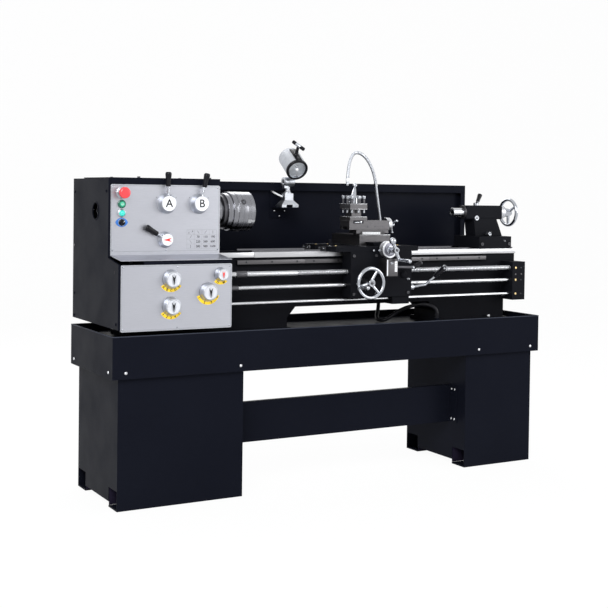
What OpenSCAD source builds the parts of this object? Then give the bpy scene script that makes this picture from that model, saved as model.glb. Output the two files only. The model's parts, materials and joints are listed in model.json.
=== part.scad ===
// Manual engine lathe on two sheet-metal cabinets. All sizes in millimetres.
// X runs along the bed from headstock to tailstock, Y towards the back, Z up.
// The origin is on the floor, at the centre of the four outermost anchor holes.

/* [Cabinets] */
// Length over both cabinets
cabinet_span = 1973; // [1900:1:2300]
// Width of the left cabinet
left_cabinet_w = 520; // [420:1:620]
// Width of the right cabinet
right_cabinet_w = 365; // [300:1:440]
// Depth of both cabinets
cabinet_d = 445; // [400:1:470]
// Height of both cabinets
cabinet_h = 624; // [500:1:760]
// Thickness of the cabinet sheet
cabinet_sheet = 2.5; // [2:0.5:4]
// Width of the wrench notch at each lower corner
notch_w = 90; // [70:1:110]
// Height of the wrench notch
notch_h = 75; // [60:1:90]
// Gap under the side skirts
skirt_gap = 20; // [10:1:30]
// Thickness of the corner foot plates
foot_plate_t = 6; // [4:1:10]
// Radius of the floor anchor holes
anchor_r = 9; // [6:0.5:12]
// Distance of an anchor hole from the cabinet's corner faces
anchor_inset = 40; // [30:1:55]
// Height of the panel between the cabinets
stretcher_h = 164; // [120:1:200]
// Height of the stretcher panel's lower edge
stretcher_z = 186; // [150:1:260]

/* [Chip tray] */
// Length of the chip tray
tray_len = 2030; // [1990:1:2400]
// Width of the chip tray
tray_w = 480; // [470:1:560]
// Height of the tray rim above its floor
tray_rim = 30; // [20:1:45]
// Depth of the skirt below the tray floor
tray_skirt = 127; // [80:1:160]
// Thickness of the tray sheet
tray_sheet = 2; // [1.5:0.5:3]

/* [Bed] */
// Length of the bed
bed_len = 1900; // [1860:1:2250]
// Width over the bed ways
bed_w = 187; // [170:1:220]
// Height from the feet to the flat ways
bed_h = 327; // [300:1:400]
// Height of the feet under the bed casting
bed_foot_h = 97; // [60:1:110]
// Width of each way
way_w = 50; // [44:1:60]
// Depth of the ground way head
way_h = 22; // [18:1:30]
// Height of the raised vee on each way
vee_h = 6; // [4:0.5:7]
// Thickness of the bed webs
web_t = 14; // [10:1:18]
// Length of the left foot
left_foot_len = 700; // [600:1:740]
// Length of the right foot
right_foot_len = 380; // [320:1:420]
// Overhang of the bed past the right foot
bed_overhang = 60; // [40:1:80]

/* [Headstock] */
// Height of the spindle axis above the flat ways
centre_height = 165; // [165:1:200]
// Distance of the spindle axis behind the cabinets' mid plane
axis_y = 18; // [10:1:24]
// Length of the headstock casting
head_len = 360; // [340:1:400]
// Width of the space for belts and change gears
gear_space = 104; // [100:1:120]
// Wall of the headstock casting
head_wall = 14; // [12:1:18]
// Thickness of the front panels
panel_t = 3; // [2:0.5:4]
// Radius of the spindle in its bearings
spindle_r = 35; // [32:0.5:38]
// Radius of the bore through the spindle
spindle_bore_r = 19; // [15:0.5:22]
// Radius of the chuck
chuck_r = 80; // [75:0.5:84]
// Length of the chuck body
chuck_len = 95; // [85:1:105]

/* [Motor and gears] */
// Radius of the motor body
motor_r = 80; // [70:1:85]
// Length of the motor
motor_len = 290; // [240:1:330]
// Radius of the motor pulley
motor_pulley_r = 45; // [40:1:55]
// Radius of the input pulley
input_pulley_r = 75; // [65:1:80]
// Gear module
gear_module = 2; // [2:0.5:2]
// Teeth of the spindle gear
spindle_teeth = 44; // [40:1:48]
// Teeth of the idler gear
idler_teeth = 100; // [96:1:104]
// Teeth of the gearbox input gear
box_teeth = 64; // [60:1:68]

/* [Feed rods] */
// Radius of the leadscrew
leadscrew_r = 11; // [9:0.5:13]
// Radius of the feed rod
feed_rod_r = 9; // [7:0.5:10]
// Radius of the control rod
control_rod_r = 8; // [6:0.5:9]
// Distance of the rods in front of the ways
rod_offset = 48.5; // [44:0.5:54]

/* [Carriage] */
// Length of the saddle's front beam
saddle_len = 416; // [390:1:440]
// Length of the apron
apron_len = 307; // [290:1:330]
// Radius of the carriage handwheel
wheel_r = 70; // [60:1:75]
// Width of the cross slide
cross_w = 156; // [140:1:164]
// Length of the cross slide
cross_len = 230; // [200:1:250]
// Length of the top slide
top_len = 205; // [180:1:215]
// Width of the top slide
top_w = 76; // [70:1:84]
// Side of the four-way tool post
post_w = 86; // [78:1:92]

/* [Tailstock] */
// Radius of the quill
quill_r = 20; // [18:0.5:24]
// Distance the quill stands out of the barrel
quill_out = 61; // [40:1:80]
// Length of the tailstock barrel
barrel_len = 205; // [180:1:230]
// Radius of the tailstock handwheel
tail_wheel_r = 68; // [60:1:75]

/* [Splash guard and lamp] */
// Height of the splash guard's top edge above the tray floor
guard_h = 616; // [560:1:680]
// Height of the splash guard's lower edge above the tray floor
guard_gap = 76; // [60:1:90]
// Radius of the lamp head
lamp_r = 47; // [40:1:52]
// Length of the lamp head
lamp_len = 110; // [95:1:125]

/* [Hidden] */

$fn = 64;
cut = 1;               // how far a cutting block runs past a face
slide_gap = 0.3;       // between faces that slide on each other
shaft_gap = 0.05;      // radial clearance of a shaft in its bore

// Levels, from the floor up
tray_floor = cabinet_h + tray_sheet;
rim_z = tray_floor + tray_rim;
skirt_z = cabinet_h - tray_skirt;
bed_z = tray_floor + bed_foot_h;
bed_top = tray_floor + bed_h;
axis_z = bed_top + centre_height;

// Stations along the bed
left_x = -cabinet_span / 2;
right_x = cabinet_span / 2;
cover_x = left_x - 8;
head_x = cover_x + gear_space;
head_end = head_x + head_len;
panel_x = left_x + 2;
panel_end = head_end + 2;
bed_end = head_x + bed_len;
bracket_w = 72;
bracket_x = bed_end - bracket_w - 3;
vee_x = head_end + 180;

// Planes across the bed
bed_front = axis_y - bed_w / 2;
bed_back = axis_y + bed_w / 2;
web_inset = 8;
rod_y = bed_front - rod_offset;
panel_y = axis_y - 138;
box_y = axis_y - 254;
head_back = axis_y + 147;
cover_back = axis_y + 267;
guard_y = axis_y + 239;

// Heights at the headstock
head_top = axis_z + 104;
lid_top = head_top + 26;
panel_z = bed_top + 8;
box_top = bed_top - 3;
box_z = bed_top - 281;
lower_top = bed_top - 32;
ledge_drop = 14;
cover_z = box_z + 8;

// Heights of the rods
leadscrew_z = bed_top - 85;
feed_rod_z = bed_top - 140;
control_rod_z = bed_top - 203;

// Spindle nose, measured from the headstock's right face
flange_t = 22;
flange_r = 54;
flange_x = head_end + 38;
backplate_t = 15;
chuck_rear_x = flange_x + flange_t + backplate_t;
chuck_rear_t = 22;
chuck_x = chuck_rear_x + chuck_rear_t;
chuck_end = chuck_x + chuck_len;
jaw_w = 18;
jaw_depth = 30;
jaw_proud = 2;
jaw_angles = [210, 330, 90];

// End cover hinge, on the motor plate
hinge_r = 5;
hinge_pin_r = 2.5;
hinge_x = head_x - 7;
hinge_y = cover_back - hinge_r;
lug_levels = [cover_z + 14, lid_top - 32];

// Belt drive
motor_y = axis_y + 204;
motor_z = bed_top - 153;
input_y = axis_y + 110;
input_z = axis_z - 68;
pulley_x = cover_x + 26;
pulley_w = 40;
belt_w = 5.4;
belt_at = [7.3, 26.3];
belt_t = 8;
input_shaft_r = 14;
motor_shaft_r = 12;

// Change gears: the idler's centre follows from the three pitch radii
gear_x = head_x - 30;
gear_w = 16;
mesh_gap = 0.15;
tooth_gap = 0.5;
r_spindle_gear = gear_module * spindle_teeth / 2;
r_idler = gear_module * idler_teeth / 2;
r_box_gear = gear_module * box_teeth / 2;
run_1 = r_spindle_gear + r_idler + mesh_gap;
run_2 = r_idler + r_box_gear + mesh_gap;
span_yz = [rod_y - axis_y, leadscrew_z - axis_z];
span_len = norm(span_yz);
along = (run_1 * run_1 - run_2 * run_2 + span_len * span_len) / (2 * span_len);
aside = sqrt(run_1 * run_1 - along * along);
u_span = span_yz / span_len;
n_span = [-u_span[1], u_span[0]];
idler_y = axis_y + along * u_span[0] + aside * n_span[0];
idler_z = axis_z + along * u_span[1] + aside * n_span[1];
// Tooth phases that put all three gears in mesh at rest
alpha = atan2(idler_z - axis_z, idler_y - axis_y);
beta = atan2(leadscrew_z - idler_z, rod_y - idler_y);
phase_idler = alpha + 180 + 180 / idler_teeth;
pitch_idler = 360 / idler_teeth;
lead_angle = (phase_idler - beta) - pitch_idler * floor((phase_idler - beta) / pitch_idler);
phase_box = beta + 180 - lead_angle * idler_teeth / box_teeth + 180 / box_teeth;
stud_r = 12;

// Controls on the upper panel
button_x = panel_x + 45;
estop_z = axis_z + 72;
start_z = axis_z + 29;
power_z = axis_z - 6;
switch_z = axis_z - 41;
estop_stem_r = 9;
start_r = 10.5;
switch_stem_r = 6;
lever_z = axis_z + 32;
lever_a_x = panel_x + 227;
lever_b_x = lever_a_x + 138;
feed_lever_x = lever_a_x - 3;
feed_lever_z = axis_z - 108;
lever_shaft_r = 8;
grip_len = 57;
// Controls on the lower panel: centre x, centre z and knob radius
knob_shaft_r = 7;
knobs = [[panel_x + 202, box_z + 194, 36], [panel_x + 202, box_z + 91, 36],
    [panel_x + 355, box_z + 141, 36], [panel_x + 408, box_z + 208, 27]];

// Carriage
saddle_x = head_end + 518;
saddle_front = bed_front - 82.5;
saddle_top = bed_top + 22;
lug_z = bed_top - 22;
apron_x = saddle_x + 76;
apron_end = apron_x + apron_len;
apron_z = bed_top - 194;
apron_t = 14;
rack_w = 16;
rack_front = bed_front + web_inset - slide_gap - rack_w;
apron_back = rack_front - 3;
lug_x = apron_end - 92;
lug_end = apron_end - 6;
slide_x = saddle_x + 248;
cross_y = axis_y - 90;
cross_top = bed_top + 68;
dovetail_h = 16;
dovetail_w = 96;
wheel_x = apron_x + 69;
wheel_z = bed_top - 129;
wheel_y = saddle_front - 48;
wheel_shaft_r = 9;
wheel_shaft_past = 4;    // from the hub's back to the end behind the apron's wall
crank_z = bed_top + 9;
crank_shaft_r = 8;
block_x = slide_x - 34;
block_end = slide_x + 21;
block_front = saddle_front - 62;
block_z = bed_top - 101;
block_top = bed_top - 30;
halfnut_y = block_front + 24;
halfnut_z = bed_top - 64;
slot_w = 16;
slot_h = 34;
slot_depth = 44;
pivot_x = block_end - 16;
pivot_r = 5;
stick_y = saddle_front + 12;
stick_z = bed_top - 157;
stick_r = 8;

// Compound slide and tool post
swivel_x = slide_x;
swivel_y = axis_y - 40;
swivel_top = cross_top + 21;
top_z = cross_top + 61;
top_x = slide_x - 123;
top_end = top_x + top_len;
small_dovetail_w = 40;
small_dovetail_h = 12;
post_x = top_x + post_w / 2;
post_y = swivel_y;
post_r = 14;
post_top = top_z + 72;
post_screw_r = 5;
top_crank_z = top_z - 18;
top_crank_shaft_r = 6;

// Tailstock
tail_x = bed_end - 211;
tail_end = tail_x + 184;
tail_base_top = bed_top + 56;
barrel_w = 64;
barrel_x = tail_x - 26;
barrel_end = barrel_x + barrel_len;
quill_nose = barrel_x - quill_out;
quill_bore_r = 11.9;
lock_x = barrel_x + 77;
lock_r = 7;
lock_floor = axis_z + quill_r + 2;   // bottom of the quill lever's bore
tail_screw_r = 9;

// Splash guard and lamp
guard_top = tray_floor + guard_h;
guard_z = tray_floor + guard_gap;
guard_x = head_end + 8;
guard_end = bed_end - 62;
guard_sheet = 2;
guard_lip = 35;
guard_return = 24;
lamp_x = head_end + 479;
lamp_y = guard_y - 60;
shelf_z = guard_top - 109;
lamp_base_h = 62;
post_r_lamp = 11;
lamp_pin_r = 8;
knuckle_z = shelf_z + 113;
knuckle_r = 21;
knuckle_pin_r = 5;
lamp_dir = [-0.08, -0.84, -0.54];

// Coolant hose, from the socket in the tray floor to the lug behind the saddle
hose_r = 8.5;
hose_points = [[555, -94, 650], [555, -94, 661], [555, -94, 672], [550, -91, 688],
    [537, -83, 700], [513, -67, 708], [484, -48, 707], [455, -32, 699], [430, -18, 689],
    [405, -6, 675], [382, 4, 658], [362, 8, 646], [345, 14, 638], [334, 34, 636],
    [340, 62, 641], [356, 88, 654], [374, 108, 676], [386, 124, 704], [388, 138, 740],
    [384, 146, 780], [379, 149, 825], [377, 149, 875], [376.5, 149, 930.7]];
socket_r = 12;
socket_h = 24;

// ---------------------------------------------------------------- helpers
module span(a, b) {
    translate(a) cube(b - a);
}

module shaft_x(p, r, l) {
    translate(p) rotate([0, 90, 0]) cylinder(r = r, h = l);
}

module shaft_y(p, r, l) {
    translate(p) rotate([-90, 0, 0]) cylinder(r = r, h = l);
}

module shaft_z(p, r, l) {
    translate(p) cylinder(r = r, h = l);
}

// A profile drawn in the YZ plane and carried along X
module along_x(x0, x1) {
    translate([x0, 0, 0]) rotate([90, 0, 90]) linear_extrude(x1 - x0) children();
}

// A profile drawn in the XZ plane and carried along Y
module along_y(y0, y1) {
    translate([0, y1, 0]) rotate([90, 0, 0]) linear_extrude(y1 - y0) children();
}

// A bar from one point to another, with its own radius at each end
module strut(a, b, ra, rb) {
    d = b - a;
    translate(a) rotate([0, acos(d[2] / norm(d)), atan2(d[1], d[0])])
        cylinder(r1 = ra, r2 = rb, h = norm(d));
}

function unit(v) = v / norm(v);

// One ring of a swept tube: points around p, square to t
function ring(p, t, r, n) =
    let (s = unit(cross(t, abs(t[1]) > 0.9 ? [1, 0, 0] : [0, 1, 0])), v = cross(t, s))
    [for (k = [0:n - 1]) p + r * (cos(360 * k / n) * s + sin(360 * k / n) * v)];

function tangent(pts, i) =
    let (last = len(pts) - 1)
    unit(pts[min(i + 1, last)] - pts[max(i - 1, 0)]);

module tube(pts, r, n) {
    m = len(pts);
    rings = [for (i = [0:m - 1]) each ring(pts[i], tangent(pts, i), r, n)];
    sides = [for (i = [0:m - 2], k = [0:n - 1])
        [i * n + k, (i + 1) * n + k, (i + 1) * n + (k + 1) % n, i * n + (k + 1) % n]];
    ends = [[for (k = [0:n - 1]) k], [for (k = [n - 1:-1:0]) (m - 1) * n + k]];
    polyhedron(rings, concat(sides, ends));
}

// A point on a smooth curve through four control points
function curve(a, b, c, d, t) =
    pow(1 - t, 3) * a + 3 * pow(1 - t, 2) * t * b + 3 * (1 - t) * t * t * c + t * t * t * d;

// Smooth points through a hand-chosen route, n of them on each stretch
function smooth(p, n) =
    let (last = len(p) - 1)
    [for (i = [0:last - 1], k = [0:n - 1])
        let (t = k / n, a = p[max(i - 1, 0)], b = p[i], c = p[i + 1], d = p[min(i + 2, last)])
        0.5 * (2 * b + (c - a) * t + (2 * a - 5 * b + 4 * c - d) * t * t
            + (3 * b - a - 3 * c + d) * t * t * t),
        p[last]];

// Straight-flanked teeth, near enough to involutes for these tooth counts
module gear(teeth, bore) {
    r = gear_module * teeth / 2;
    ro = r + 0.95 * gear_module;
    ri = r - 1.25 * gear_module;
    step = 360 / teeth;
    half = step / 4 - (tooth_gap / 2 / r) * 180 / PI / 2;
    tip = half - tan(20) * 0.95 * gear_module / r * 180 / PI;
    root = half + tan(20) * 1.1 * gear_module / r * 180 / PI;
    difference() {
        polygon([for (k = [0:teeth - 1], c = [[-root, ri], [-tip, ro], [tip, ro], [root, ri]])
            c[1] * [cos(k * step + c[0]), sin(k * step + c[0])]]);
        circle(bore);
    }
}

module gear_at(y, z, teeth, bore, phase) {
    translate([gear_x, y, z]) rotate([90, 0, 90]) rotate([0, 0, phase])
        linear_extrude(gear_w) gear(teeth, bore);
}

// ---------------------------------------------------------------- cabinets
module cabinet(x0, w) {
    x1 = x0 + w;
    y0 = -cabinet_d / 2;
    y1 = cabinet_d / 2;
    t = cabinet_sheet;
    difference() {
        span([x0, y0, 0], [x1, y1, cabinet_h]);
        span([x0 + t, y0 + t, -cut], [x1 - t, y1 - t, cabinet_h - t]);
        span([x0 - cut, y0 + notch_w, -cut], [x1 + cut, y1 - notch_w, skirt_gap]);
        for (ya = [y0 + t, y1 - notch_w])
            span([x0 - cut, ya, foot_plate_t], [x1 + cut, ya + notch_w - t, notch_h]);
    }
    for (xa = [x0, x1 - notch_w], ya = [y0, y1 - notch_w])
        difference() {
            span([xa, ya, 0], [xa + notch_w, ya + notch_w, foot_plate_t]);
            translate([xa < (x0 + x1) / 2 - 1 ? x0 + anchor_inset : x1 - anchor_inset,
                ya < 0 ? y0 + anchor_inset : y1 - anchor_inset, -cut])
                cylinder(r = anchor_r, h = foot_plate_t + 2 * cut);
        }
}

module left_cabinet() {
    color("#15171c") cabinet(left_x, left_cabinet_w);
}

module right_cabinet() {
    color("#15171c") cabinet(right_x - right_cabinet_w, right_cabinet_w);
}

module stretcher_panel() {
    x0 = left_x + left_cabinet_w;
    x1 = right_x - right_cabinet_w;
    y = -cabinet_d / 4;
    z1 = stretcher_z + stretcher_h;
    t = 3;
    color("#1b1d23") {
        span([x0, y, stretcher_z], [x1, y + t, z1]);
        for (z = [stretcher_z, z1 - t]) span([x0, y, z], [x1, y + 20, z + t]);
        for (x = [x0, x1 - t]) span([x, y - 55, stretcher_z], [x + t, y + t, z1]);
    }
}

module chip_tray() {
    lx = tray_len / 2;
    ly = tray_w / 2;
    t = tray_sheet;
    hem = 8;
    foot = hose_points[0];
    color("#15171c") shaft_z([foot[0], foot[1], cabinet_h + 1], socket_r, socket_h + 1);
    color("#15171c") difference() {
        span([-lx, -ly, skirt_z], [lx, ly, rim_z]);
        span([t - lx, t - ly, skirt_z - cut], [lx - t, ly - t, cabinet_h]);
        span([t - lx, t - ly, tray_floor], [lx - t, ly - t, rim_z - t]);
        span([hem - lx, hem - ly, rim_z - t - cut], [lx - hem, ly - hem, rim_z + cut]);
    }
}

// ---------------------------------------------------------------- bed
module way(y0, outer) {
    y1 = y0 + way_w;
    web_y = outer < 0 ? y0 + web_inset : y1 - web_inset - web_t;
    span([head_x, y0, bed_top - way_h], [bed_end, y1, bed_top]);
    span([head_x, web_y, bed_z], [bed_end, web_y + web_t, bed_top - way_h / 2]);
    span([head_x, outer < 0 ? web_y : web_y - 14, bed_z],
        [bed_end, outer < 0 ? web_y + web_t + 14 : web_y + web_t, bed_z + 18]);
    along_x(vee_x, bed_end) polygon([[y0 + way_w / 2 - vee_h, bed_top - cut],
        [y0 + way_w / 2 - vee_h, bed_top], [y0 + way_w / 2, bed_top + vee_h],
        [y0 + way_w / 2 + vee_h, bed_top], [y0 + way_w / 2 + vee_h, bed_top - cut]]);
}

// A hollow foot with a flared top and bolting flanges front and back
module bed_foot(x0, x1, flare_left, flare_right) {
    y0 = bed_front + web_inset;
    y1 = bed_back - web_inset;
    t = 12;
    flange = 34;
    difference() {
        union() {
            along_y(y0, y1) polygon([[x0, tray_floor], [x1, tray_floor], [x1, bed_z - 45],
                [x1 + flare_right, bed_z + cut], [x0 - flare_left, bed_z + cut],
                [x0, bed_z - 45]]);
            span([x0, y0 - flange, tray_floor], [x1, y1 + flange, tray_floor + 16]);
        }
        span([x0 + t, y0 + t, tray_floor - cut], [x1 - t, y1 - t, bed_z + 2 * cut]);
    }
}

module rack() {
    pitch = PI * 2;
    x0 = vee_x - 80;
    teeth = floor((bed_end - 174 - x0) / pitch);
    z = bed_top - 42;
    translate([x0, rack_front + rack_w, 0]) rotate([90, 0, 0]) linear_extrude(rack_w) polygon(concat(
        [[0, z + 10], [0, z - 6]],
        [for (k = [0:teeth - 1], c = [[0.2, -6], [0.35, -10], [0.65, -10], [0.8, -6]])
            [(k + c[0]) * pitch, z + c[1]]],
        [[teeth * pitch, z - 6], [teeth * pitch, z + 10]]));
}

module bed() {
    ribs = 8;
    rib_step = bed_len / ribs;
    color("#17191e") {
        way(bed_front, -1);
        way(bed_back - way_w, 1);
        for (k = [0:ribs])
            translate([min(head_x + k * rib_step, bed_end - web_t), bed_front + web_inset, bed_z])
                cube([web_t, bed_w - 2 * web_inset, bed_h - bed_foot_h - way_h - 40]);
        bed_foot(head_x + 4, head_x + left_foot_len, 0, 40);
        bed_foot(bed_end - bed_overhang - right_foot_len, bed_end - bed_overhang, 45, 0);
    }
    color("#6b6560") rack();
}

module rod_bracket() {
    y0 = rod_y - 26;
    z0 = control_rod_z - 28;
    z1 = leadscrew_z + 28;
    blind = bed_end - 20;
    color("#15171c") difference() {
        union() {
            span([bracket_x, y0, z0], [bracket_x + bracket_w, bed_front, z1]);
            span([bracket_x, bed_front, z0], [bed_end, bed_front + web_inset, z1]);
        }
        shaft_x([bracket_x - cut, rod_y, leadscrew_z], leadscrew_r + shaft_gap,
            blind - bracket_x + cut);
        shaft_x([bracket_x - cut, rod_y, feed_rod_z], feed_rod_r + shaft_gap,
            blind - bracket_x + cut);
        shaft_x([bracket_x - cut, rod_y, control_rod_z], control_rod_r + shaft_gap,
            blind - bracket_x + cut);
    }
}

// ---------------------------------------------------------------- headstock
module headstock_casting() {
    y0 = panel_y + panel_t;
    w = head_wall;
    boss_r = spindle_r + 24;
    boss_l = 44;
    color("#1a1c22") difference() {
        union() {
            difference() {
                span([head_x, y0, bed_top], [head_end, head_back, head_top]);
                span([head_x + w, y0 + w, bed_top + w],
                    [head_end - w, head_back - w, head_top + cut]);
            }
            shaft_x([head_x, axis_y, axis_z], boss_r, boss_l);
            shaft_x([head_end - boss_l, axis_y, axis_z], boss_r, boss_l + 6);
            shaft_x([gear_x + 2, idler_y, idler_z], stud_r, head_x - gear_x + w - 2);
        }
        shaft_x([head_x - cut, axis_y, axis_z], spindle_r + shaft_gap, head_len + 10);
        shaft_x([head_x - cut, input_y, input_z], input_shaft_r + shaft_gap, w + 2 * cut);
        for (x = [lever_a_x, lever_b_x])
            shaft_y([x, y0 - cut, lever_z], lever_shaft_r + shaft_gap, w + 2 * cut);
        shaft_y([feed_lever_x, y0 - cut, feed_lever_z], lever_shaft_r + shaft_gap, w + 2 * cut);
    }
}

module top_cover() {
    t = 3.5;
    rim = head_wall;
    x0 = cover_x + 10;
    color("#1a1c22") {
        span([x0, panel_y, lid_top - t], [panel_end, head_back + 22, lid_top]);
        span([x0, panel_y, head_top], [panel_end, panel_y + rim, lid_top]);
        span([head_end - rim, panel_y, head_top], [panel_end, head_back, lid_top]);
        span([head_x, head_back - rim, head_top], [panel_end, head_back, lid_top]);
    }
}

module feed_gearbox() {
    w = 10;
    front = box_y + panel_t;
    back = bed_front - slide_gap;
    color("#15171c") difference() {
        along_x(head_x, head_end - 2) polygon([[front, box_z], [front, box_top - ledge_drop],
            [panel_y, box_top], [back, box_top], [back, box_z]]);
        span([head_x + w, front + w, box_z + w],
            [head_end - 2 - w, back - w, box_top - ledge_drop - w]);
        shaft_x([head_x - cut, rod_y, leadscrew_z], leadscrew_r + shaft_gap, head_len + 2 * cut);
        shaft_x([head_end - 20, rod_y, feed_rod_z], feed_rod_r + shaft_gap, 30);
        shaft_x([head_end - 20, rod_y, control_rod_z], control_rod_r + shaft_gap, 30);
        for (k = knobs) shaft_y([k[0], front - cut, k[1]], knob_shaft_r + shaft_gap, w + 2 * cut);
    }
}

// A flat plate with round corners, square to Y
module plate_y(x0, x1, y, z0, z1, t, r) {
    along_y(y, y + t) {
        translate([x0 + r, z0]) square([x1 - x0 - 2 * r, z1 - z0]);
        translate([x0, z0 + r]) square([x1 - x0, z1 - z0 - 2 * r]);
        for (x = [x0 + r, x1 - r], z = [z0 + r, z1 - r]) translate([x, z]) circle(r);
    }
}

module upper_panel() {
    y = panel_y;
    color("#b9bdc4") {
        difference() {
            union() {
                plate_y(panel_x, panel_end, y, panel_z, head_top, panel_t, 8);
                shaft_y([button_x, y - 12, estop_z], 19, 12);
                shaft_y([button_x, y - 7, start_z], 14, 7);
            }
            shaft_y([button_x, y - 13, estop_z], estop_stem_r + shaft_gap, 20);
            shaft_y([button_x, y - 13, start_z], start_r + shaft_gap, 20);
            shaft_y([button_x, y - 13, switch_z], switch_stem_r + shaft_gap, 20);
            for (x = [lever_a_x, lever_b_x])
                shaft_y([x, y - cut, lever_z], lever_shaft_r + slide_gap, panel_t + 2 * cut);
            shaft_y([feed_lever_x, y - cut, feed_lever_z], lever_shaft_r + slide_gap,
                panel_t + 2 * cut);
        }
        shaft_y([button_x, y - 5, power_z], 14, 5);
        translate([button_x, y - 5, power_z]) sphere(r = 12);
        along_x(panel_x, panel_end) polygon([[y + panel_t, box_top], [y + panel_t, panel_z + 12],
            [y, panel_z + 12], [y, box_top + 2], [box_y, box_top + 2 - ledge_drop],
            [box_y, box_top - ledge_drop], [y, box_top]]);
    }
}

module lower_panel() {
    color("#b9bdc4") difference() {
        plate_y(panel_x, panel_end, box_y, box_z, lower_top, panel_t, 6);
        for (k = knobs) shaft_y([k[0], box_y - cut, k[1]], knob_shaft_r + slide_gap,
            panel_t + 2 * cut);
    }
}

// The hinged sheet cover over the belts and change gears: open to the right
module end_cover() {
    t = 2;
    lip = 9;
    top = lid_top - 4;
    front = panel_y - 5;
    low_front = box_y - 2;
    step_z = bed_top - 10;
    step_low = step_z - 20;
    x1 = hinge_x - 2.5;
    color("#15171c") {
        difference() {
            along_x(cover_x, x1) polygon([[front, top], [front, step_z], [low_front, step_low],
                [low_front, cover_z], [cover_back, cover_z], [cover_back, top]]);
            along_x(cover_x + t, x1 + cut) polygon([[front + t, top - t], [front + t, step_z],
                [low_front + t, step_low], [low_front + t, cover_z + t],
                [cover_back - t, cover_z + t], [cover_back - t, top - t]]);
            span([cover_x + lip, box_y - 10, cover_z - cut],
                [x1 + cut, panel_y + head_wall + 2, top + cut]);
            shaft_x([cover_x - cut, axis_y, axis_z], 31, 6);
            for (z = lug_levels)
                span([hinge_x - 16, cover_back - 24, z - 2], [x1 + cut, cover_back + cut, z + 18]);
        }
        difference() {
            shaft_z([hinge_x, hinge_y, lug_levels[0] + 16.5], hinge_r,
                lug_levels[1] - lug_levels[0] - 17);
            shaft_z([hinge_x, hinge_y, lug_levels[0]], hinge_pin_r + shaft_gap, top);
        }
    }
}

// ---------------------------------------------------------------- drive
module motor() {
    x0 = head_x - 8;
    x_body = head_x;
    fins = 20;
    fan_x = x_body + motor_len - 55;
    color("#2a2d33") {
        difference() {
            span([x0, axis_y + 45, cover_z + 12], [head_x, cover_back - 12, lid_top - 10]);
            shaft_x([x0 - cut, input_y, input_z], input_shaft_r + 6, 12);
            shaft_x([x0 - cut, motor_y, motor_z], motor_shaft_r + shaft_gap, 12);
            span([x0 - cut, axis_y + 45 - cut, axis_z - 45], [head_x + cut, axis_y + 60, axis_z + 45]);
        }
        for (z = lug_levels) span([head_x - 12, cover_back - 16, z], [head_x, hinge_y + 2.5, z + 16]);
        shaft_z([hinge_x, hinge_y, lug_levels[0] + 8], hinge_pin_r, lug_levels[1] - lug_levels[0]);
        difference() {
            union() {
                shaft_x([x_body, motor_y, motor_z], motor_r - 5, motor_len - 55);
                shaft_x([x_body, motor_y, motor_z], motor_r, 14);
                for (k = [0:fins - 1]) translate([x_body + 30, motor_y, motor_z])
                    rotate([360 * k / fins, 0, 0]) translate([0, -1.5, motor_r - 12])
                        cube([motor_len - 95, 3, 12]);
                shaft_x([fan_x, motor_y, motor_z], motor_r, 55);
                span([x_body + 60, motor_y - 45, motor_z + motor_r - 12],
                    [x_body + 160, motor_y + 45, motor_z + motor_r + 36]);
            }
            shaft_x([x_body - cut, motor_y, motor_z], motor_shaft_r + shaft_gap, 41);
        }
    }
}

// A pulley with two vee grooves, on its own shaft
module pulley(y, z, r, shaft_r, shaft_l) {
    groove = 9;
    color("#4a4c50") translate([pulley_x, y, z]) rotate([0, 90, 0]) difference() {
        union() {
            rotate_extrude() polygon([[0, 0], [r, 0], [r, 3], [r - groove, 7],
                [r - groove, 13], [r, 17], [r, 22], [r - groove, 26], [r - groove, 32],
                [r, 36], [r, pulley_w], [0, pulley_w]]);
            cylinder(r = shaft_r, h = shaft_l);
        }
        translate([0, 0, -cut]) cylinder(r = r - 22, h = 12);
    }
}

module motor_pulley() {
    pulley(motor_y, motor_z, motor_pulley_r, motor_shaft_r, head_x - pulley_x + 30);
}

module input_pulley() {
    pulley(input_y, input_z, input_pulley_r, input_shaft_r, head_x - pulley_x + 120);
}

module belt_loop(grow) {
    hull() {
        translate([motor_y, motor_z]) circle(motor_pulley_r - 8.7 + grow, $fn = 40);
        translate([input_y, input_z]) circle(input_pulley_r - 8.7 + grow, $fn = 64);
    }
}

module drive_belts() {
    color("#101010") for (x = belt_at)
        along_x(pulley_x + x, pulley_x + x + belt_w) difference() {
            belt_loop(belt_t);
            belt_loop(0);
        }
}

module spindle() {
    rear = cover_x + 12;
    color("#c9ccd0") difference() {
        union() {
            shaft_x([rear, axis_y, axis_z], 26, head_x - rear + cut);
            shaft_x([head_x, axis_y, axis_z], spindle_r, flange_x - head_x);
            shaft_x([flange_x - 18, axis_y, axis_z], spindle_r + 9, 18);
            shaft_x([flange_x, axis_y, axis_z], flange_r, flange_t);
        }
        shaft_x([rear - cut, axis_y, axis_z], spindle_bore_r, flange_x + flange_t - rear + 2 * cut);
    }
    color("#a08a4a") gear_at(axis_y, axis_z, spindle_teeth, 26, alpha);
}

module idler_gear() {
    color("#5a5c60") gear_at(idler_y, idler_z, idler_teeth, stud_r + shaft_gap, phase_idler);
}

module box_gear() {
    color("#5a5c60") gear_at(rod_y, leadscrew_z, box_teeth, leadscrew_r + shaft_gap,
        phase_box);
}

// ---------------------------------------------------------------- chuck
module jaw_slots(extra) {
    for (a = jaw_angles) translate([0, axis_y, axis_z]) rotate([a, 0, 0]) {
        span([chuck_end - jaw_depth - extra, 10, -jaw_w / 2 - extra],
            [chuck_end - 12 + extra, chuck_r + 10, jaw_w / 2 + extra]);
        span([chuck_end - 14, 10, -jaw_w / 3 - extra], [chuck_end + 5, chuck_r + 10, jaw_w / 3 + extra]);
    }
}

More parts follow.
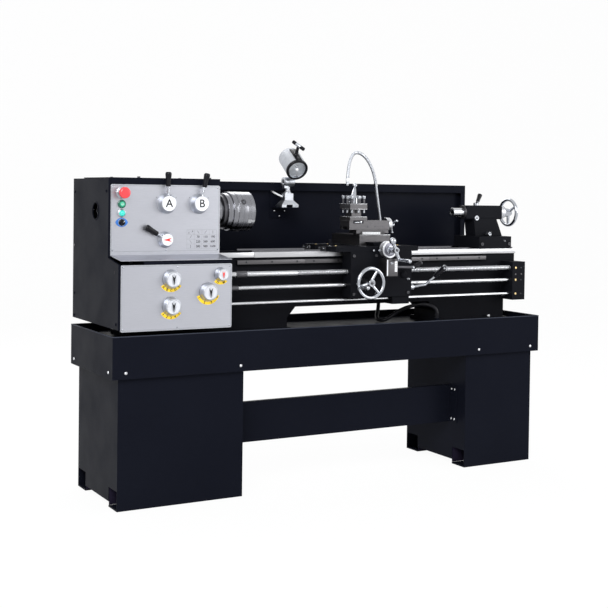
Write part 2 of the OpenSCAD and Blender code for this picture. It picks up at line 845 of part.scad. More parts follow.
module chuck_body() {
    color("#b4b7bb") difference() {
        union() {
            shaft_x([chuck_rear_x - backplate_t, axis_y, axis_z], chuck_r - 14, backplate_t);
            shaft_x([chuck_rear_x, axis_y, axis_z], chuck_r - 6, chuck_rear_t);
            shaft_x([chuck_x, axis_y, axis_z], chuck_r, chuck_len);
        }
        shaft_x([chuck_rear_x - backplate_t - cut, axis_y, axis_z], 20, 200);
        translate([chuck_x + 20, axis_y, axis_z]) rotate([0, 90, 0]) rotate_extrude()
            translate([chuck_r - 1.5, 0]) square([4, 2.5]);
        jaw_slots(slide_gap);
        for (a = [30, 150, 270]) translate([chuck_x + 44, axis_y, axis_z]) rotate([a - 90, 0, 0])
            translate([0, 0, chuck_r - 22]) cylinder(r = 8, h = 30);
    }
}

module jaw(a) {
    color("#9da0a5") translate([0, axis_y, axis_z]) rotate([a, 0, 0]) {
        span([chuck_end - jaw_depth, 22, -jaw_w / 2], [chuck_end - 12, chuck_r - 3, jaw_w / 2]);
        span([chuck_end - 12 - cut, 22, -jaw_w / 3],
            [chuck_end + jaw_proud, chuck_r - 3, jaw_w / 3]);
    }
}

module jaw_1() {
    jaw(jaw_angles[0]);
}

module jaw_2() {
    jaw(jaw_angles[1]);
}

module jaw_3() {
    jaw(jaw_angles[2]);
}

// ---------------------------------------------------------------- rods
module leadscrew() {
    x0 = gear_x - 4;
    color("#b8bbc0") {
        shaft_x([x0, rod_y, leadscrew_z], leadscrew_r, bed_end - 24 - x0);
        shaft_x([head_end + 72, rod_y, leadscrew_z], leadscrew_r + 3, 48);
    }
}

module feed_rod() {
    color("#c2c5ca") {
        shaft_x([head_end - 14, rod_y, feed_rod_z], feed_rod_r, bed_end - 10 - head_end);
        shaft_x([head_end + 30, rod_y, feed_rod_z], feed_rod_r + 3, 52);
    }
}

module control_rod() {
    color("#c2c5ca")
        shaft_x([head_end - 14, rod_y, control_rod_z], control_rod_r, bed_end - 10 - head_end);
}

// ---------------------------------------------------------------- hand controls
// A turned hub on the panel, a rod at the given lean and a tapered grip
module hub_lever(x, z, r, depth, lean, grip_at) {
    y = panel_y - slide_gap;
    d = [sin(lean), 0, cos(lean)];
    mid = [x, y - depth * 0.62, z];
    color("#d4d6da") {
        translate([x, y, z]) rotate([90, 0, 0]) cylinder(r1 = r, r2 = r * 0.74, h = depth);
        shaft_y([x, y - cut, z], lever_shaft_r, slide_gap + panel_t + head_wall);
        strut(mid, mid + (grip_at + 2) * d, 4.5, 4.5);
    }
    color("#111111") strut(mid + grip_at * d, mid + (grip_at + grip_len) * d, 9.5, 12.5);
}

module speed_lever_a() {
    hub_lever(lever_a_x, lever_z, 40, 30, 0, 66);
}

module speed_lever_b() {
    hub_lever(lever_b_x, lever_z, 40, 30, 12.5, 66);
}

module feed_direction_lever() {
    hub_lever(feed_lever_x, feed_lever_z, 32, 24, -60, 44);
}

module knob(k) {
    y = box_y - slide_gap;
    r = knobs[k][2];
    color("#d4d6da") {
        translate([knobs[k][0], y, knobs[k][1]]) rotate([90, 0, 0])
            cylinder(r1 = r, r2 = r * 0.82, h = 28);
        shaft_y([knobs[k][0], y - cut, knobs[k][1]], knob_shaft_r, slide_gap + panel_t + 9);
    }
}

module knob_1() {
    knob(0);
}

module knob_2() {
    knob(1);
}

module knob_3() {
    knob(2);
}

module knob_4() {
    knob(3);
}

module e_stop_button() {
    color("#d8202a") {
        shaft_y([button_x, panel_y - 42, estop_z], 22, 16);
        shaft_y([button_x, panel_y - 30, estop_z], estop_stem_r, 34);
    }
}

module start_button() {
    color("#12a060") shaft_y([button_x, panel_y - 10, start_z], start_r, 18);
}

module coolant_switch() {
    color("#15171c") {
        shaft_y([button_x, panel_y - 20, switch_z], 11, 20 - slide_gap);
        shaft_y([button_x, panel_y - 4, switch_z], switch_stem_r, 12);
    }
}

// ---------------------------------------------------------------- carriage
module vee_clearance(y0) {
    g = slide_gap + 0.2;
    c = y0 + way_w / 2;
    along_x(saddle_x - 10, saddle_x + saddle_len + 10) polygon([
        [c - vee_h - g, bed_top - cut], [c - vee_h - g, bed_top + 1],
        [c, bed_top + vee_h + 1 + g], [c + vee_h + g, bed_top + 1],
        [c + vee_h + g, bed_top - cut]]);
}

module dovetail(x, w, z, h, y0, y1) {
    along_y(y0, y1) polygon([[x - w / 2 + h / 2, z], [x + w / 2 - h / 2, z],
        [x + w / 2, z + h], [x - w / 2, z + h]]);
}

module saddle() {
    low = bed_top + slide_gap;
    x1 = saddle_x + saddle_len;
    color("#1a1c22") difference() {
        union() {
            span([saddle_x, saddle_front, low], [x1, bed_front + way_w + 6, saddle_top]);
            span([saddle_x + 24, bed_back - way_w - 6, low], [x1, bed_back + 24, saddle_top]);
            span([slide_x - 88, saddle_front, low], [slide_x + 87, bed_back + 24, saddle_top]);
            span([slide_x - 30, saddle_front - 6, low - 8], [slide_x + 30, saddle_front, saddle_top]);
            span([x1 - 45, bed_back + 6, lug_z], [x1 - 9, bed_back + 54, saddle_top]);
            dovetail(slide_x, dovetail_w, saddle_top - 0.5, dovetail_h, saddle_front + 26,
                bed_back + 24);
        }
        vee_clearance(bed_front);
        vee_clearance(bed_back - way_w);
        shaft_y([slide_x - 2, saddle_front - 10, crank_z], crank_shaft_r + shaft_gap, 70);
    }
    color("#8b8e93") {
        shaft_z([saddle_x - 14 + 28, bed_front - 10, saddle_top - cut], 7, 28 + cut);
    }
}

module apron() {
    t = apron_t;
    top = bed_top + slide_gap;
    color("#15171c") difference() {
        union() {
            span([apron_x, saddle_front, apron_z], [apron_end, apron_back, top]);
            span([lug_x, saddle_front + 8, control_rod_z - 24], [lug_end, apron_back - 8, apron_z + 5]);
            span([block_x, block_front, block_z], [block_end, saddle_front + cut, block_top]);
        }
        span([apron_x + t, saddle_front + t, apron_z + t], [apron_end - t, apron_back + cut, top - t]);
        shaft_x([apron_x - cut, rod_y, leadscrew_z], leadscrew_r + 2, apron_len + 2 * cut);
        shaft_x([apron_x - cut, rod_y, feed_rod_z], feed_rod_r + 2, apron_len + 2 * cut);
        shaft_x([lug_x - cut, rod_y, control_rod_z], control_rod_r + 1, 100);
        shaft_x([apron_x - cut, rod_y, control_rod_z], control_rod_r + 1, apron_len + 2 * cut);
        shaft_y([wheel_x, saddle_front - cut, wheel_z], wheel_shaft_r + shaft_gap, t + 2 * cut);
        shaft_x([apron_end - t - cut, stick_y, stick_z], stick_r + shaft_gap, t + 2 * cut);
        span([block_end - 30, halfnut_y - slot_w / 2, halfnut_z - slot_h / 2],
            [block_end + cut, halfnut_y + slot_w / 2, halfnut_z + slot_h / 2]);
        shaft_y([pivot_x, block_front - cut, halfnut_z], pivot_r + shaft_gap, slot_depth);
    }
}

module apron_handwheel() {
    y = wheel_y;
    hub_y = saddle_front - slide_gap;
    color("#c6c9ce") {
        translate([wheel_x, y, wheel_z]) rotate([90, 0, 0]) rotate_extrude()
            translate([wheel_r - 8, 0]) circle(8);
        translate([wheel_x, hub_y, wheel_z]) rotate([90, 0, 0])
            cylinder(r1 = 24, r2 = 15, h = hub_y - y + 10);
        shaft_y([wheel_x, hub_y - cut, wheel_z], wheel_shaft_r, apron_t + wheel_shaft_past);
        for (a = [60, 193, 313]) {
            d = [cos(a), 0, sin(a)];
            strut([wheel_x, y + 6, wheel_z] + 10 * d, [wheel_x, y, wheel_z] + (wheel_r - 9) * d, 8, 6);
        }
        handle_d = [cos(193), 0, sin(193)];
        strut([wheel_x, y, wheel_z] + (wheel_r - 9) * handle_d,
            [wheel_x, y - 68, wheel_z] + (wheel_r - 9) * handle_d, 7, 9);
        translate([wheel_x, y - 70, wheel_z] + (wheel_r - 9) * handle_d) sphere(r = 9);
    }
}

module halfnut_lever() {
    hub = [pivot_x, halfnut_y, halfnut_z];
    bend = hub + [112, 0, -4];
    tip = bend + [42, 0, 20];
    color("#3a3c42") {
        shaft_y(hub - [0, slot_w / 2 - 1, 0], 9, slot_w - 2);
        shaft_y([pivot_x, block_front + 3, halfnut_z], pivot_r, slot_depth - 6);
        strut(hub, bend, 6, 6);
        strut(bend, tip, 7, 9.5);
    }
}

// The bent stick that works the control rod
module spindle_lever() {
    p = [apron_end + slide_gap, stick_y, stick_z];
    bend = p + [66, -20, 10];
    mid = p + [100, -52, 52];
    tip = p + [116, -98, 92];
    color("#c6c9ce") {
        shaft_x([apron_end - apron_t, stick_y, stick_z], stick_r, apron_t + 2);
        shaft_x(p, 12, 16);
        strut(p + [10, 0, 0], bend, 5.5, 5.5);
        translate(bend) sphere(r = 6.2);
        strut(bend, mid, 5.5, 5.5);
    }
    color("#111111") strut(mid, tip, 8.5, 11);
}

module cross_slide() {
    x0 = slide_x - cross_w / 2;
    g = slide_gap;
    color("#6a6560") difference() {
        span([x0, cross_y, saddle_top + g], [x0 + cross_w, cross_y + cross_len, cross_top]);
        dovetail(slide_x, dovetail_w + 2 * g, saddle_top - 0.5, dovetail_h + g, cross_y - cut,
            cross_y + cross_len + cut);
    }
}

// A crank with a ball weight on one side and a handle on the other
module cross_crank() {
    c = [slide_x - 2, saddle_front - 6 - slide_gap, crank_z];
    arm_y = c[1] - 74;
    up = [cos(113), 0, sin(113)];
    down = [cos(-68), 0, sin(-68)];
    arm = [c[0], arm_y, c[2]];
    foot = arm + 42 * down;
    color("#c6c9ce") {
        shaft_y([c[0], c[1] - 30, c[2]], 36, 30);
        shaft_y([c[0], arm_y - 9, c[2]], 12, 54);
        shaft_y([c[0], c[1] - 2, c[2]], crank_shaft_r, 54);
        strut(arm + 4 * up, arm + 36 * up, 7, 8);
        translate(arm + 42 * up) sphere(r = 15);
        strut(arm + 4 * down, foot, 7.5, 7);
        translate(foot) sphere(r = 9);
        strut(foot - [0, 2, 0], foot - [0, 78, 4], 6, 8.6);
        translate(foot - [0, 80, 4]) sphere(r = 9);
    }
}

module swivel_base() {
    g = slide_gap;
    base_r = 68;
    color("#8b8986") {
        shaft_z([swivel_x, swivel_y, cross_top + g], base_r, 13);
        span([swivel_x - 82, swivel_y - 30, cross_top + g + 5], [swivel_x + 82, swivel_y + 30, swivel_top]);
        along_x(swivel_x - 82, swivel_x + 82) polygon([
            [swivel_y - small_dovetail_w / 2 + 5, swivel_top - 1],
            [swivel_y + small_dovetail_w / 2 - 5, swivel_top - 1],
            [swivel_y + small_dovetail_w / 2, swivel_top + small_dovetail_h],
            [swivel_y - small_dovetail_w / 2, swivel_top + small_dovetail_h]]);
    }
}

module top_slide() {
    g = slide_gap;
    y0 = swivel_y - top_w / 2;
    color("#77736d") difference() {
        span([top_x, y0, swivel_top + g], [top_end, y0 + top_w, top_z]);
        along_x(top_x - cut, top_end + cut) polygon([
            [swivel_y - small_dovetail_w / 2 + 5 - g, swivel_top - 1],
            [swivel_y + small_dovetail_w / 2 - 5 + g, swivel_top - 1],
            [swivel_y + small_dovetail_w / 2 + g, swivel_top + small_dovetail_h + g],
            [swivel_y - small_dovetail_w / 2 - g, swivel_top + small_dovetail_h + g]]);
        shaft_x([top_end - 30, swivel_y, top_crank_z], top_crank_shaft_r + shaft_gap, 40);
    }
    color("#8b8986") shaft_z([post_x, post_y, top_z - cut], post_r, post_top - top_z + 18);
}

module top_crank() {
    x = top_end + slide_gap;
    color("#c6c9ce") {
        shaft_x([x - 28, swivel_y, top_crank_z], top_crank_shaft_r, 30);
        shaft_x([x, swivel_y, top_crank_z], 29, 22);
        shaft_x([x + 20, swivel_y, top_crank_z], 12, 24);
        for (a = [35, 155, 275]) {
            d = [0, cos(a), sin(a)];
            hub = [x + 34, swivel_y, top_crank_z];
            strut(hub + 5 * d, hub + 33 * d + [6, 0, 0], 5, 4.5);
            translate(hub + 36 * d + [7, 0, 0]) sphere(r = 6.5);
        }
    }
}

module tool_post() {
    h = post_w / 2;
    z = top_z + slide_gap;
    color("#5a5652") translate([post_x, post_y, 0]) difference() {
        union() {
            span([-h, -h, z], [h, h, z + 16]);
            span([-24, -24, z], [24, 24, z + 60]);
            span([-h, -h, z + 48], [h, h, post_top]);
        }
        shaft_z([0, 0, z - cut], post_r + shaft_gap, 100);
        for (k = [0:3]) rotate([0, 0, 90 * k]) for (s = [-30, 4])
            shaft_z([s, -h + 9, z + 47], post_screw_r + shaft_gap, 40);
    }
}

module tool_post_screws() {
    h = post_w / 2;
    color("#8b8e93") translate([post_x, post_y, 0]) for (k = [0:3]) rotate([0, 0, 90 * k])
        for (s = [-30, 4]) {
            shaft_z([s, -h + 9, post_top - 36], post_screw_r, 60);
            shaft_z([s, -h + 9, post_top + 20], 6.5, 14);
        }
}

module tool_post_clamp() {
    z = post_top + slide_gap;
    ball = [post_x + 27, post_y + 34, z + 79];
    color("#c6c9ce") {
        difference() {
            shaft_z([post_x, post_y, z], 20, 24);
            shaft_z([post_x, post_y, z - cut], post_r + shaft_gap, 19);
        }
        translate([post_x, post_y, z + 23]) cylinder(r1 = 17, r2 = 10, h = 16);
        strut([post_x, post_y, z + 30], ball, 5, 4.5);
        translate(ball) sphere(r = 10);
    }
}

module gooseneck() {
    x = saddle_x + saddle_len - 16;
    y = bed_back + 10;
    knee = [x, y, saddle_top + 96];
    lean = [x - 40, y - 20, saddle_top + 265];
    peak = [x - 162, y - 55, saddle_top + 403];
    tip = [x - 225, y - 80, saddle_top + 261];
    n = 10;
    color("#aeb2b8") {
        shaft_z([x, y, saddle_top], 13, 22);
        tube(concat([[x, y, saddle_top + 22], knee],
            [for (k = [0:n]) curve(lean, lean + [-18, -9, 78], peak + [56, 20, 0], peak, k / n)],
            [for (k = [1:n]) curve(peak, peak + [-44, -16, 0], tip + [2, 4, 88], tip, k / n)]),
            6.5, 12);
    }
}

module coolant_hose() {
    color("#0d0d0f") tube(smooth(hose_points, 2), hose_r, 10);
}

// ---------------------------------------------------------------- tailstock
module tailstock_base() {
    low = bed_top + slide_gap;
    color("#15171c") difference() {
        union() {
            span([tail_x, bed_front - 2, low], [tail_end, bed_back + 2, tail_base_top]);
            span([tail_x + 40, bed_front + way_w + 4, low - 46],
                [tail_end - 40, bed_back - way_w - 4, low + cut]);
        }
        for (y0 = [bed_front, bed_back - way_w]) {
            c = y0 + way_w / 2;
            along_x(tail_x - cut, tail_end + cut) polygon([[c - vee_h - 0.5, low - cut],
                [c - vee_h - 0.5, low + 1], [c, low + vee_h + 1], [c + vee_h + 0.5, low + 1],
                [c + vee_h + 0.5, low - cut]]);
        }
    }
}

module tailstock_body() {
    y0 = axis_y - 33;
    b = barrel_w / 2;
    color("#17191e") difference() {
        union() {
            along_y(y0, axis_y + 40) polygon([[tail_x + 25, tail_base_top],
                [tail_end - 4, tail_base_top], [barrel_end - 34, axis_z - b + 4],
                [tail_x + 14, axis_z - b + 4]]);
            along_x(barrel_x, barrel_end) {
                translate([axis_y - b, axis_z - b + 8]) square([2 * b, 2 * b - 16]);
                translate([axis_y - b + 8, axis_z - b]) square([2 * b - 16, 2 * b]);
                for (y = [-b + 8, b - 8], z = [-b + 8, b - 8])
                    translate([axis_y + y, axis_z + z]) circle(8);
            }
        }
        shaft_x([barrel_x - cut, axis_y, axis_z], quill_r + shaft_gap, barrel_len - 20 + cut);
        shaft_x([barrel_end - 30, axis_y, axis_z], tail_screw_r + shaft_gap, 40);
        shaft_z([lock_x, axis_y, lock_floor], lock_r + shaft_gap, 30);
    }
}

module quill() {
    color("#c2c5ca") difference() {
        shaft_x([quill_nose, axis_y, axis_z], quill_r, quill_out + barrel_len - 110);
        translate([quill_nose - cut, axis_y, axis_z]) rotate([0, 90, 0])
            cylinder(r1 = quill_bore_r, r2 = quill_bore_r - 2, h = 82);
    }
}

module tailstock_handwheel() {
    x = barrel_end + slide_gap;
    rim_x = x + 62;
    color("#c6c9ce") {
        shaft_x([x - 20, axis_y, axis_z], tail_screw_r, 22);
        shaft_x([x, axis_y, axis_z], 29, 26);
        translate([x + 25, axis_y, axis_z]) rotate([0, 90, 0]) cylinder(r1 = 24, r2 = 16, h = 48);
        translate([rim_x, axis_y, axis_z]) rotate([0, 90, 0]) rotate_extrude()
            translate([tail_wheel_r - 8, 0]) circle(8);
        for (a = [30, 150, 270]) {
            d = [0, cos(a), sin(a)];
            strut([rim_x, axis_y, axis_z] + 8 * d, [rim_x, axis_y, axis_z] + (tail_wheel_r - 9) * d, 8, 6);
        }
    }
}

module quill_lever() {
    foot = [lock_x, axis_y, axis_z + barrel_w / 2 + slide_gap];
    knee = foot + [12, 4, 18];
    color("#8b8e93") {
        shaft_z([lock_x, axis_y, lock_floor + 2 + slide_gap], lock_r,
            foot[2] - lock_floor - slide_gap);
        shaft_z(foot, 12, 12);
        strut(foot + [0, 0, 8], knee, 5, 5);
    }
    color("#111111") strut(knee, foot + [30, 10, 50], 8, 10.5);
}

// ---------------------------------------------------------------- splash guard and lamp
module splash_guard() {
    t = guard_sheet;
    y1 = guard_y;
    y0 = guard_y - guard_return;
    leg_w = 40;
    color("#15171c") {
        span([guard_x, y1, guard_z], [guard_end, y1 + t, guard_top]);
        span([guard_x, y0, guard_top - t], [guard_end, y1 + t, guard_top]);
        span([guard_x, y0, guard_top - guard_lip], [guard_end, y0 + t, guard_top]);
        span([guard_end - t, y0, guard_z], [guard_end, y1 + t, guard_top]);
        span([guard_end - 24, y0, guard_z], [guard_end, y0 + t, guard_top]);
        for (x = [head_end + 260, bed_end - 330]) {
            span([x, bed_back - web_inset + slide_gap, bed_z + 60], [x + leg_w, bed_back + 12, bed_z + 120]);
            span([x, bed_back, bed_z + 60], [x + leg_w, y1 + cut, bed_z + 66]);
        }
    }
}

module lamp_base() {
    w = 41;
    d = 28;
    cap_w = 21;
    t = 3;
    z1 = shelf_z + lamp_base_h;
    y_back = guard_y - slide_gap;
    color("#17191e") {
        span([lamp_x - 55, y_back - t, shelf_z - 48], [lamp_x + 29, y_back, shelf_z + 80]);
        span([lamp_x - 50, lamp_y - d - 4, shelf_z - t], [lamp_x + 45, y_back, shelf_z]);
    }
    color("#b9bcc2") {
        difference() {
            hull() {
                span([lamp_x - w, lamp_y - d, shelf_z], [lamp_x + w, lamp_y + d, shelf_z + 12]);
                span([lamp_x - cap_w, lamp_y - 16, z1 - 34], [lamp_x + cap_w, lamp_y + 16, z1 - 30]);
            }
            span([lamp_x - 18, lamp_y - d - cut, shelf_z - cut],
                [lamp_x + 12, lamp_y + d + cut, shelf_z + 12]);
        }
        span([lamp_x - cap_w, lamp_y - 16, z1 - 32], [lamp_x + cap_w, lamp_y + 16, z1]);
        difference() {
            shaft_z([lamp_x, lamp_y, z1 - cut], post_r_lamp + 3, 9);
            shaft_z([lamp_x, lamp_y, z1 - 2 * cut], lamp_pin_r + shaft_gap, 30);
        }
    }
    color("#b9bcc2") strut([lamp_x - 50, y_back - 2, shelf_z + 72],
        [lamp_x - 14, lamp_y + 4, shelf_z + 44], 3.5, 3.5);
}

// Swivels on the lamp base and carries one half of the knuckle
module lamp_arm() {
    z1 = shelf_z + lamp_base_h + 8;
    neck_z = knuckle_z - knuckle_r - 1.5;
    color("#c6c9ce") {
        shaft_z([lamp_x, lamp_y, z1 + slide_gap], post_r_lamp, neck_z - z1 - slide_gap);
        span([lamp_x - 20, lamp_y - 9, neck_z - 6], [lamp_x - slide_gap, lamp_y + 9, knuckle_z - 10]);
        shaft_z([lamp_x, lamp_y, z1 - 7], lamp_pin_r, 9);
        difference() {
            shaft_x([lamp_x - 20, lamp_y, knuckle_z], knuckle_r, 19.7);
            shaft_x([lamp_x - 10, lamp_y, knuckle_z], knuckle_pin_r + shaft_gap, 12);
        }
    }
}

module lamp_head() {
    k = [lamp_x, lamp_y, knuckle_z];
    dir = unit(lamp_dir);
    up = unit([0, 0, 1] - dir * dir[2]);
    stem = k + [14, 0, 0];
    wall = 12;
    seat = stem + (knuckle_r + lamp_r + 14) * up;
    ring_c = seat + 34 * dir;
    stud = ring_c - 48 * dir;
    grip = stud + (lamp_r + 48) * up;
    bar = unit([0.47, -0.70, -0.55]);
    cup = 60;
    mouth_r = lamp_r - 8;
    lens_back = 6;
    lens_r = mouth_r - lens_back * (mouth_r - 12) / cup - slide_gap;
    color("#c6c9ce") {
        shaft_x([lamp_x, lamp_y, knuckle_z], knuckle_r, 25);
        shaft_x([lamp_x - 9.7, lamp_y, knuckle_z], knuckle_pin_r, 12);
        strut(stem, seat - (lamp_r - wall) * up, 9, 10);
        translate(ring_c) rotate([0, acos(-dir[2]), atan2(-dir[1], -dir[0])]) rotate([0, 0, 90])
            rotate_extrude() polygon([[mouth_r, 0], [lamp_r, 0], [lamp_r, lamp_len],
                [lamp_r - wall, lamp_len + 9], [0, lamp_len + 9], [0, cup], [12, cup]]);
    }
    color("#e8eef4") strut(ring_c - lens_back * dir, ring_c - 3 * dir, lens_r, lens_r);
    color("#15171c") {
        strut(stud + (lamp_r - 6) * up, grip, 6, 5);
        strut(grip - 31 * bar, grip + 31 * bar, 7, 7);
    }
}

left_cabinet();
right_cabinet();
stretcher_panel();
chip_tray();
bed();
headstock_casting();
top_cover();
feed_gearbox();
upper_panel();
lower_panel();
end_cover();
splash_guard();
lamp_base();
lamp_arm();
lamp_head();
rod_bracket();
motor();
motor_pulley();
drive_belts();
input_pulley();
spindle();
chuck_body();
jaw_1();
jaw_2();
jaw_3();
idler_gear();
box_gear();
leadscrew();
feed_rod();
control_rod();
spindle_lever();
speed_lever_a();
speed_lever_b();
feed_direction_lever();
knob_1();
knob_2();
knob_3();
knob_4();
e_stop_button();
start_button();
coolant_switch();
saddle();
apron();
apron_handwheel();
halfnut_lever();
cross_slide();
cross_crank();
swivel_base();
top_slide();
top_crank();
tool_post();
tool_post_screws();
tool_post_clamp();
gooseneck();
coolant_hose();
tailstock_base();
tailstock_body();
quill();
tailstock_handwheel();
quill_lever();
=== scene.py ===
import json
import math

import bmesh
import bpy
from mathutils import Matrix, Vector


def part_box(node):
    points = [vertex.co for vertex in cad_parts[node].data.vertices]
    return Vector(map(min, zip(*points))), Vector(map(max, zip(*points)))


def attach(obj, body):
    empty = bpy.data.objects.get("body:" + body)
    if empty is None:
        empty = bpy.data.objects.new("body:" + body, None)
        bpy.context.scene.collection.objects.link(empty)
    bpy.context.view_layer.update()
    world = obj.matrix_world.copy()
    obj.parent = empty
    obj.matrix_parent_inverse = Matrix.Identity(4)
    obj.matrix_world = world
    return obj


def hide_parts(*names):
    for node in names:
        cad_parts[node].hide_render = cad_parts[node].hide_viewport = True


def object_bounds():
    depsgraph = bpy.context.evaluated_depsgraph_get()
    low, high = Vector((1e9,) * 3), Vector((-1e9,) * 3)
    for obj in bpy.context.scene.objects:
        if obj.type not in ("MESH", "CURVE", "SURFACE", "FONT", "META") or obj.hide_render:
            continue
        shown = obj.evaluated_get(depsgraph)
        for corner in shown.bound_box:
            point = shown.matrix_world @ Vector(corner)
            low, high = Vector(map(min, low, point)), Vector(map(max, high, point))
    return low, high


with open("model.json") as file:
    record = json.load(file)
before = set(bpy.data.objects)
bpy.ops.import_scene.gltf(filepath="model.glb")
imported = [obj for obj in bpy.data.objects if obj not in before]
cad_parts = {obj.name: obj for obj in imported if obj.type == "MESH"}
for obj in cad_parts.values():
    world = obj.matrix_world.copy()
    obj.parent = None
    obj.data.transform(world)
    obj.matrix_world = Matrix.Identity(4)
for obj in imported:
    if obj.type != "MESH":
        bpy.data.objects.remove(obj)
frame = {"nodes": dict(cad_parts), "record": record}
cad_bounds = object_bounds()
record = frame["record"]
scene = bpy.context.scene
scene.view_settings.view_transform = "Standard"

# Sizes are in millimetres in the part's own frame, unless a comment says otherwise.
MM = 0.001
X, Y, Z = Vector((1, 0, 0)), Vector((0, 1, 0)), Vector((0, 0, 1))
PIN = {j["name"]: Vector(j["pos_m"]) / MM for j in record["behaviour"]["joints"] if "pos_m" in j}
SHARP = 38          # edges with a wider angle, in degrees, stay sharp
INK = 0.12          # how far a printed mark stands proud
PANEL_STEP = 116    # how far the upper panel stands behind the lower one
BED_TOP = 953       # heights, and how far right or left things lie
BED_END = 1009.5
GAP_X = -350.5      # the joint between the bed and its gap piece
WAYS_LEFT = -520    # where the ways run under the headstock
SADDLE_TOP = 975
POST_Z = 1082.3     # the tool post's foot
TAIL_DIAL_X = 977.8
WAY_FRONT = -75.5   # faces towards the operator, along Y
BRACKET_FACE = -150
APRON_FACE = -158


def at(x, y, z):
    return Vector((x, y, z))


def lo(node):
    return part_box(node)[0] / MM


def hi(node):
    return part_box(node)[1] / MM


def centre(node):
    low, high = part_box(node)
    return (low + high) / 2 / MM


def wave(degrees, u, v):
    """The direction at that angle from u towards v."""
    a = math.radians(degrees)
    return math.cos(a) * u + math.sin(a) * v


def smooth_route(points, steps=8):
    """A smooth curve through the points, with so many steps to each stretch."""
    pts = [Vector(p) for p in points]
    last = len(pts) - 1
    out = []
    for i in range(last):
        a, b = pts[max(i - 1, 0)], pts[i]
        c, d = pts[i + 1], pts[min(i + 2, last)]
        for k in range(steps):
            t = k / steps
            out.append(0.5 * (2 * b + (c - a) * t + (2 * a - 5 * b + 4 * c - d) * t * t
                              + (3 * b - a - 3 * c + d) * t ** 3))
    return out + [pts[last]]


# ------------------------------------------------------------------ camera
CAMERA_AT = (-2522.5, -4335.2, 1200.1)
YAW, PITCH, ROLL = 0.5136, -0.0252, 0.0132      # radians, from level and along +Y
LENS, SENSOR, SHIFT = 69.43, 36, -0.135


def make_camera():
    data = bpy.data.cameras.new("camera")
    cam = bpy.data.objects.new("camera", data)
    scene.collection.objects.link(cam)
    forward = at(math.sin(YAW) * math.cos(PITCH), math.cos(YAW) * math.cos(PITCH), math.sin(PITCH))
    level = at(math.cos(YAW), -math.sin(YAW), 0)
    rise = level.cross(forward)
    right = math.cos(ROLL) * level + math.sin(ROLL) * rise
    up = -math.sin(ROLL) * level + math.cos(ROLL) * rise
    turn = Matrix((right, up, -forward)).transposed()
    cam.matrix_world = Matrix.Translation(Vector(CAMERA_AT) * MM) @ turn.to_4x4()
    data.sensor_width = SENSOR
    data.lens = LENS
    data.shift_y = SHIFT
    data.clip_end = 60
    scene.camera = cam


make_camera()


# --------------------------------------------------------------- materials
MATS = {}


class Net:
    """A small helper that adds nodes to one material."""

    def __init__(self, name):
        self.mat = bpy.data.materials.new(name)
        self.mat.use_nodes = True
        self.tree = self.mat.node_tree
        self.bsdf = self.tree.nodes["Principled BSDF"]
        self.coord = self.tree.nodes.new("ShaderNodeTexCoord").outputs["Object"]

    def add(self, kind, links=(), **settings):
        node = self.tree.nodes.new(kind)
        for key, value in settings.items():
            if hasattr(node, key):
                setattr(node, key, value)
            else:
                node.inputs[key.replace("_", " ").title()].default_value = value
        for source, target in links:
            self.tree.links.new(source, node.inputs[target])
        return node

    def join(self, source, target):
        self.tree.links.new(source, self.bsdf.inputs[target])

    def noise(self, scale, detail=4, stretch=(1, 1, 1)):
        place = self.add("ShaderNodeMapping", [(self.coord, "Vector")])
        place.inputs["Scale"].default_value = stretch
        return self.add("ShaderNodeTexNoise", [(place.outputs[0], "Vector")], Scale=scale,
            Detail=detail).outputs["Fac"]

    def ramp(self, source, low, high, a, b):
        node = self.add("ShaderNodeMapRange", [(source, "Value")])
        for key, value in (("From Min", low), ("From Max", high), ("To Min", a), ("To Max", b)):
            node.inputs[key].default_value = value
        return node.outputs[0]

    def tint(self, source, dark, light):
        node = self.add("ShaderNodeMix", data_type="RGBA")
        node.inputs["A"].default_value = (*dark, 1)
        node.inputs["B"].default_value = (*light, 1)
        self.tree.links.new(source, node.inputs["Factor"])
        self.join(node.outputs["Result"], "Base Color")

    def relief(self, source, strength, distance, edge):
        """A fine bump, and edges that look softened by that radius in metres."""
        bump = self.add("ShaderNodeBump", [(source, "Height")])
        bump.inputs["Strength"].default_value = strength
        bump.inputs["Distance"].default_value = distance
        soft = self.add("ShaderNodeBevel", samples=4)
        soft.inputs["Radius"].default_value = edge
        self.tree.links.new(soft.outputs[0], bump.inputs["Normal"])
        self.join(bump.outputs[0], "Normal")


def painted(name, dark, light, rough, peel=0.12, edge=0.0015, shine=0.02):
    """Sprayed enamel: a little orange peel, slow variation, dust and softened edges."""
    net = Net(name)
    net.tint(net.noise(2.2, 5), dark, light)
    net.join(net.ramp(net.noise(7, 6), 0.3, 0.7, rough - 0.06, rough + 0.09), "Roughness")
    net.relief(net.noise(380, 3), peel, 0.0004, edge)
    net.bsdf.inputs["Specular IOR Level"].default_value = shine
    MATS[name] = net.mat


def metal(name, dark, light, rough, stretch=(1, 1, 1), scale=60, depth=0.06):
    """Machined or brushed metal, with its grain drawn out along one axis."""
    net = Net(name)
    grain = net.noise(scale, 6, stretch)
    net.tint(grain, dark, light)
    net.join(net.ramp(net.noise(scale * 0.4, 5, stretch), 0.3, 0.7, rough - 0.06, rough + 0.1),
        "Roughness")
    net.relief(grain, depth, 0.0003, 0.001)
    net.bsdf.inputs["Metallic"].default_value = 1
    MATS[name] = net.mat


def moulded(name, dark, light, rough, coat=0.3, grain=900, depth=0.08, shine=0.5):
    """Plastic, rubber, lacquer or print, with a fine grain and soft edges."""
    net = Net(name)
    net.tint(net.noise(14, 4), dark, light)
    net.join(net.ramp(net.noise(40, 4), 0.3, 0.7, rough - 0.04, rough + 0.06), "Roughness")
    net.relief(net.noise(grain, 2), depth, 0.0002, 0.0008)
    net.bsdf.inputs["Coat Weight"].default_value = coat
    net.bsdf.inputs["Specular IOR Level"].default_value = shine
    MATS[name] = net.mat


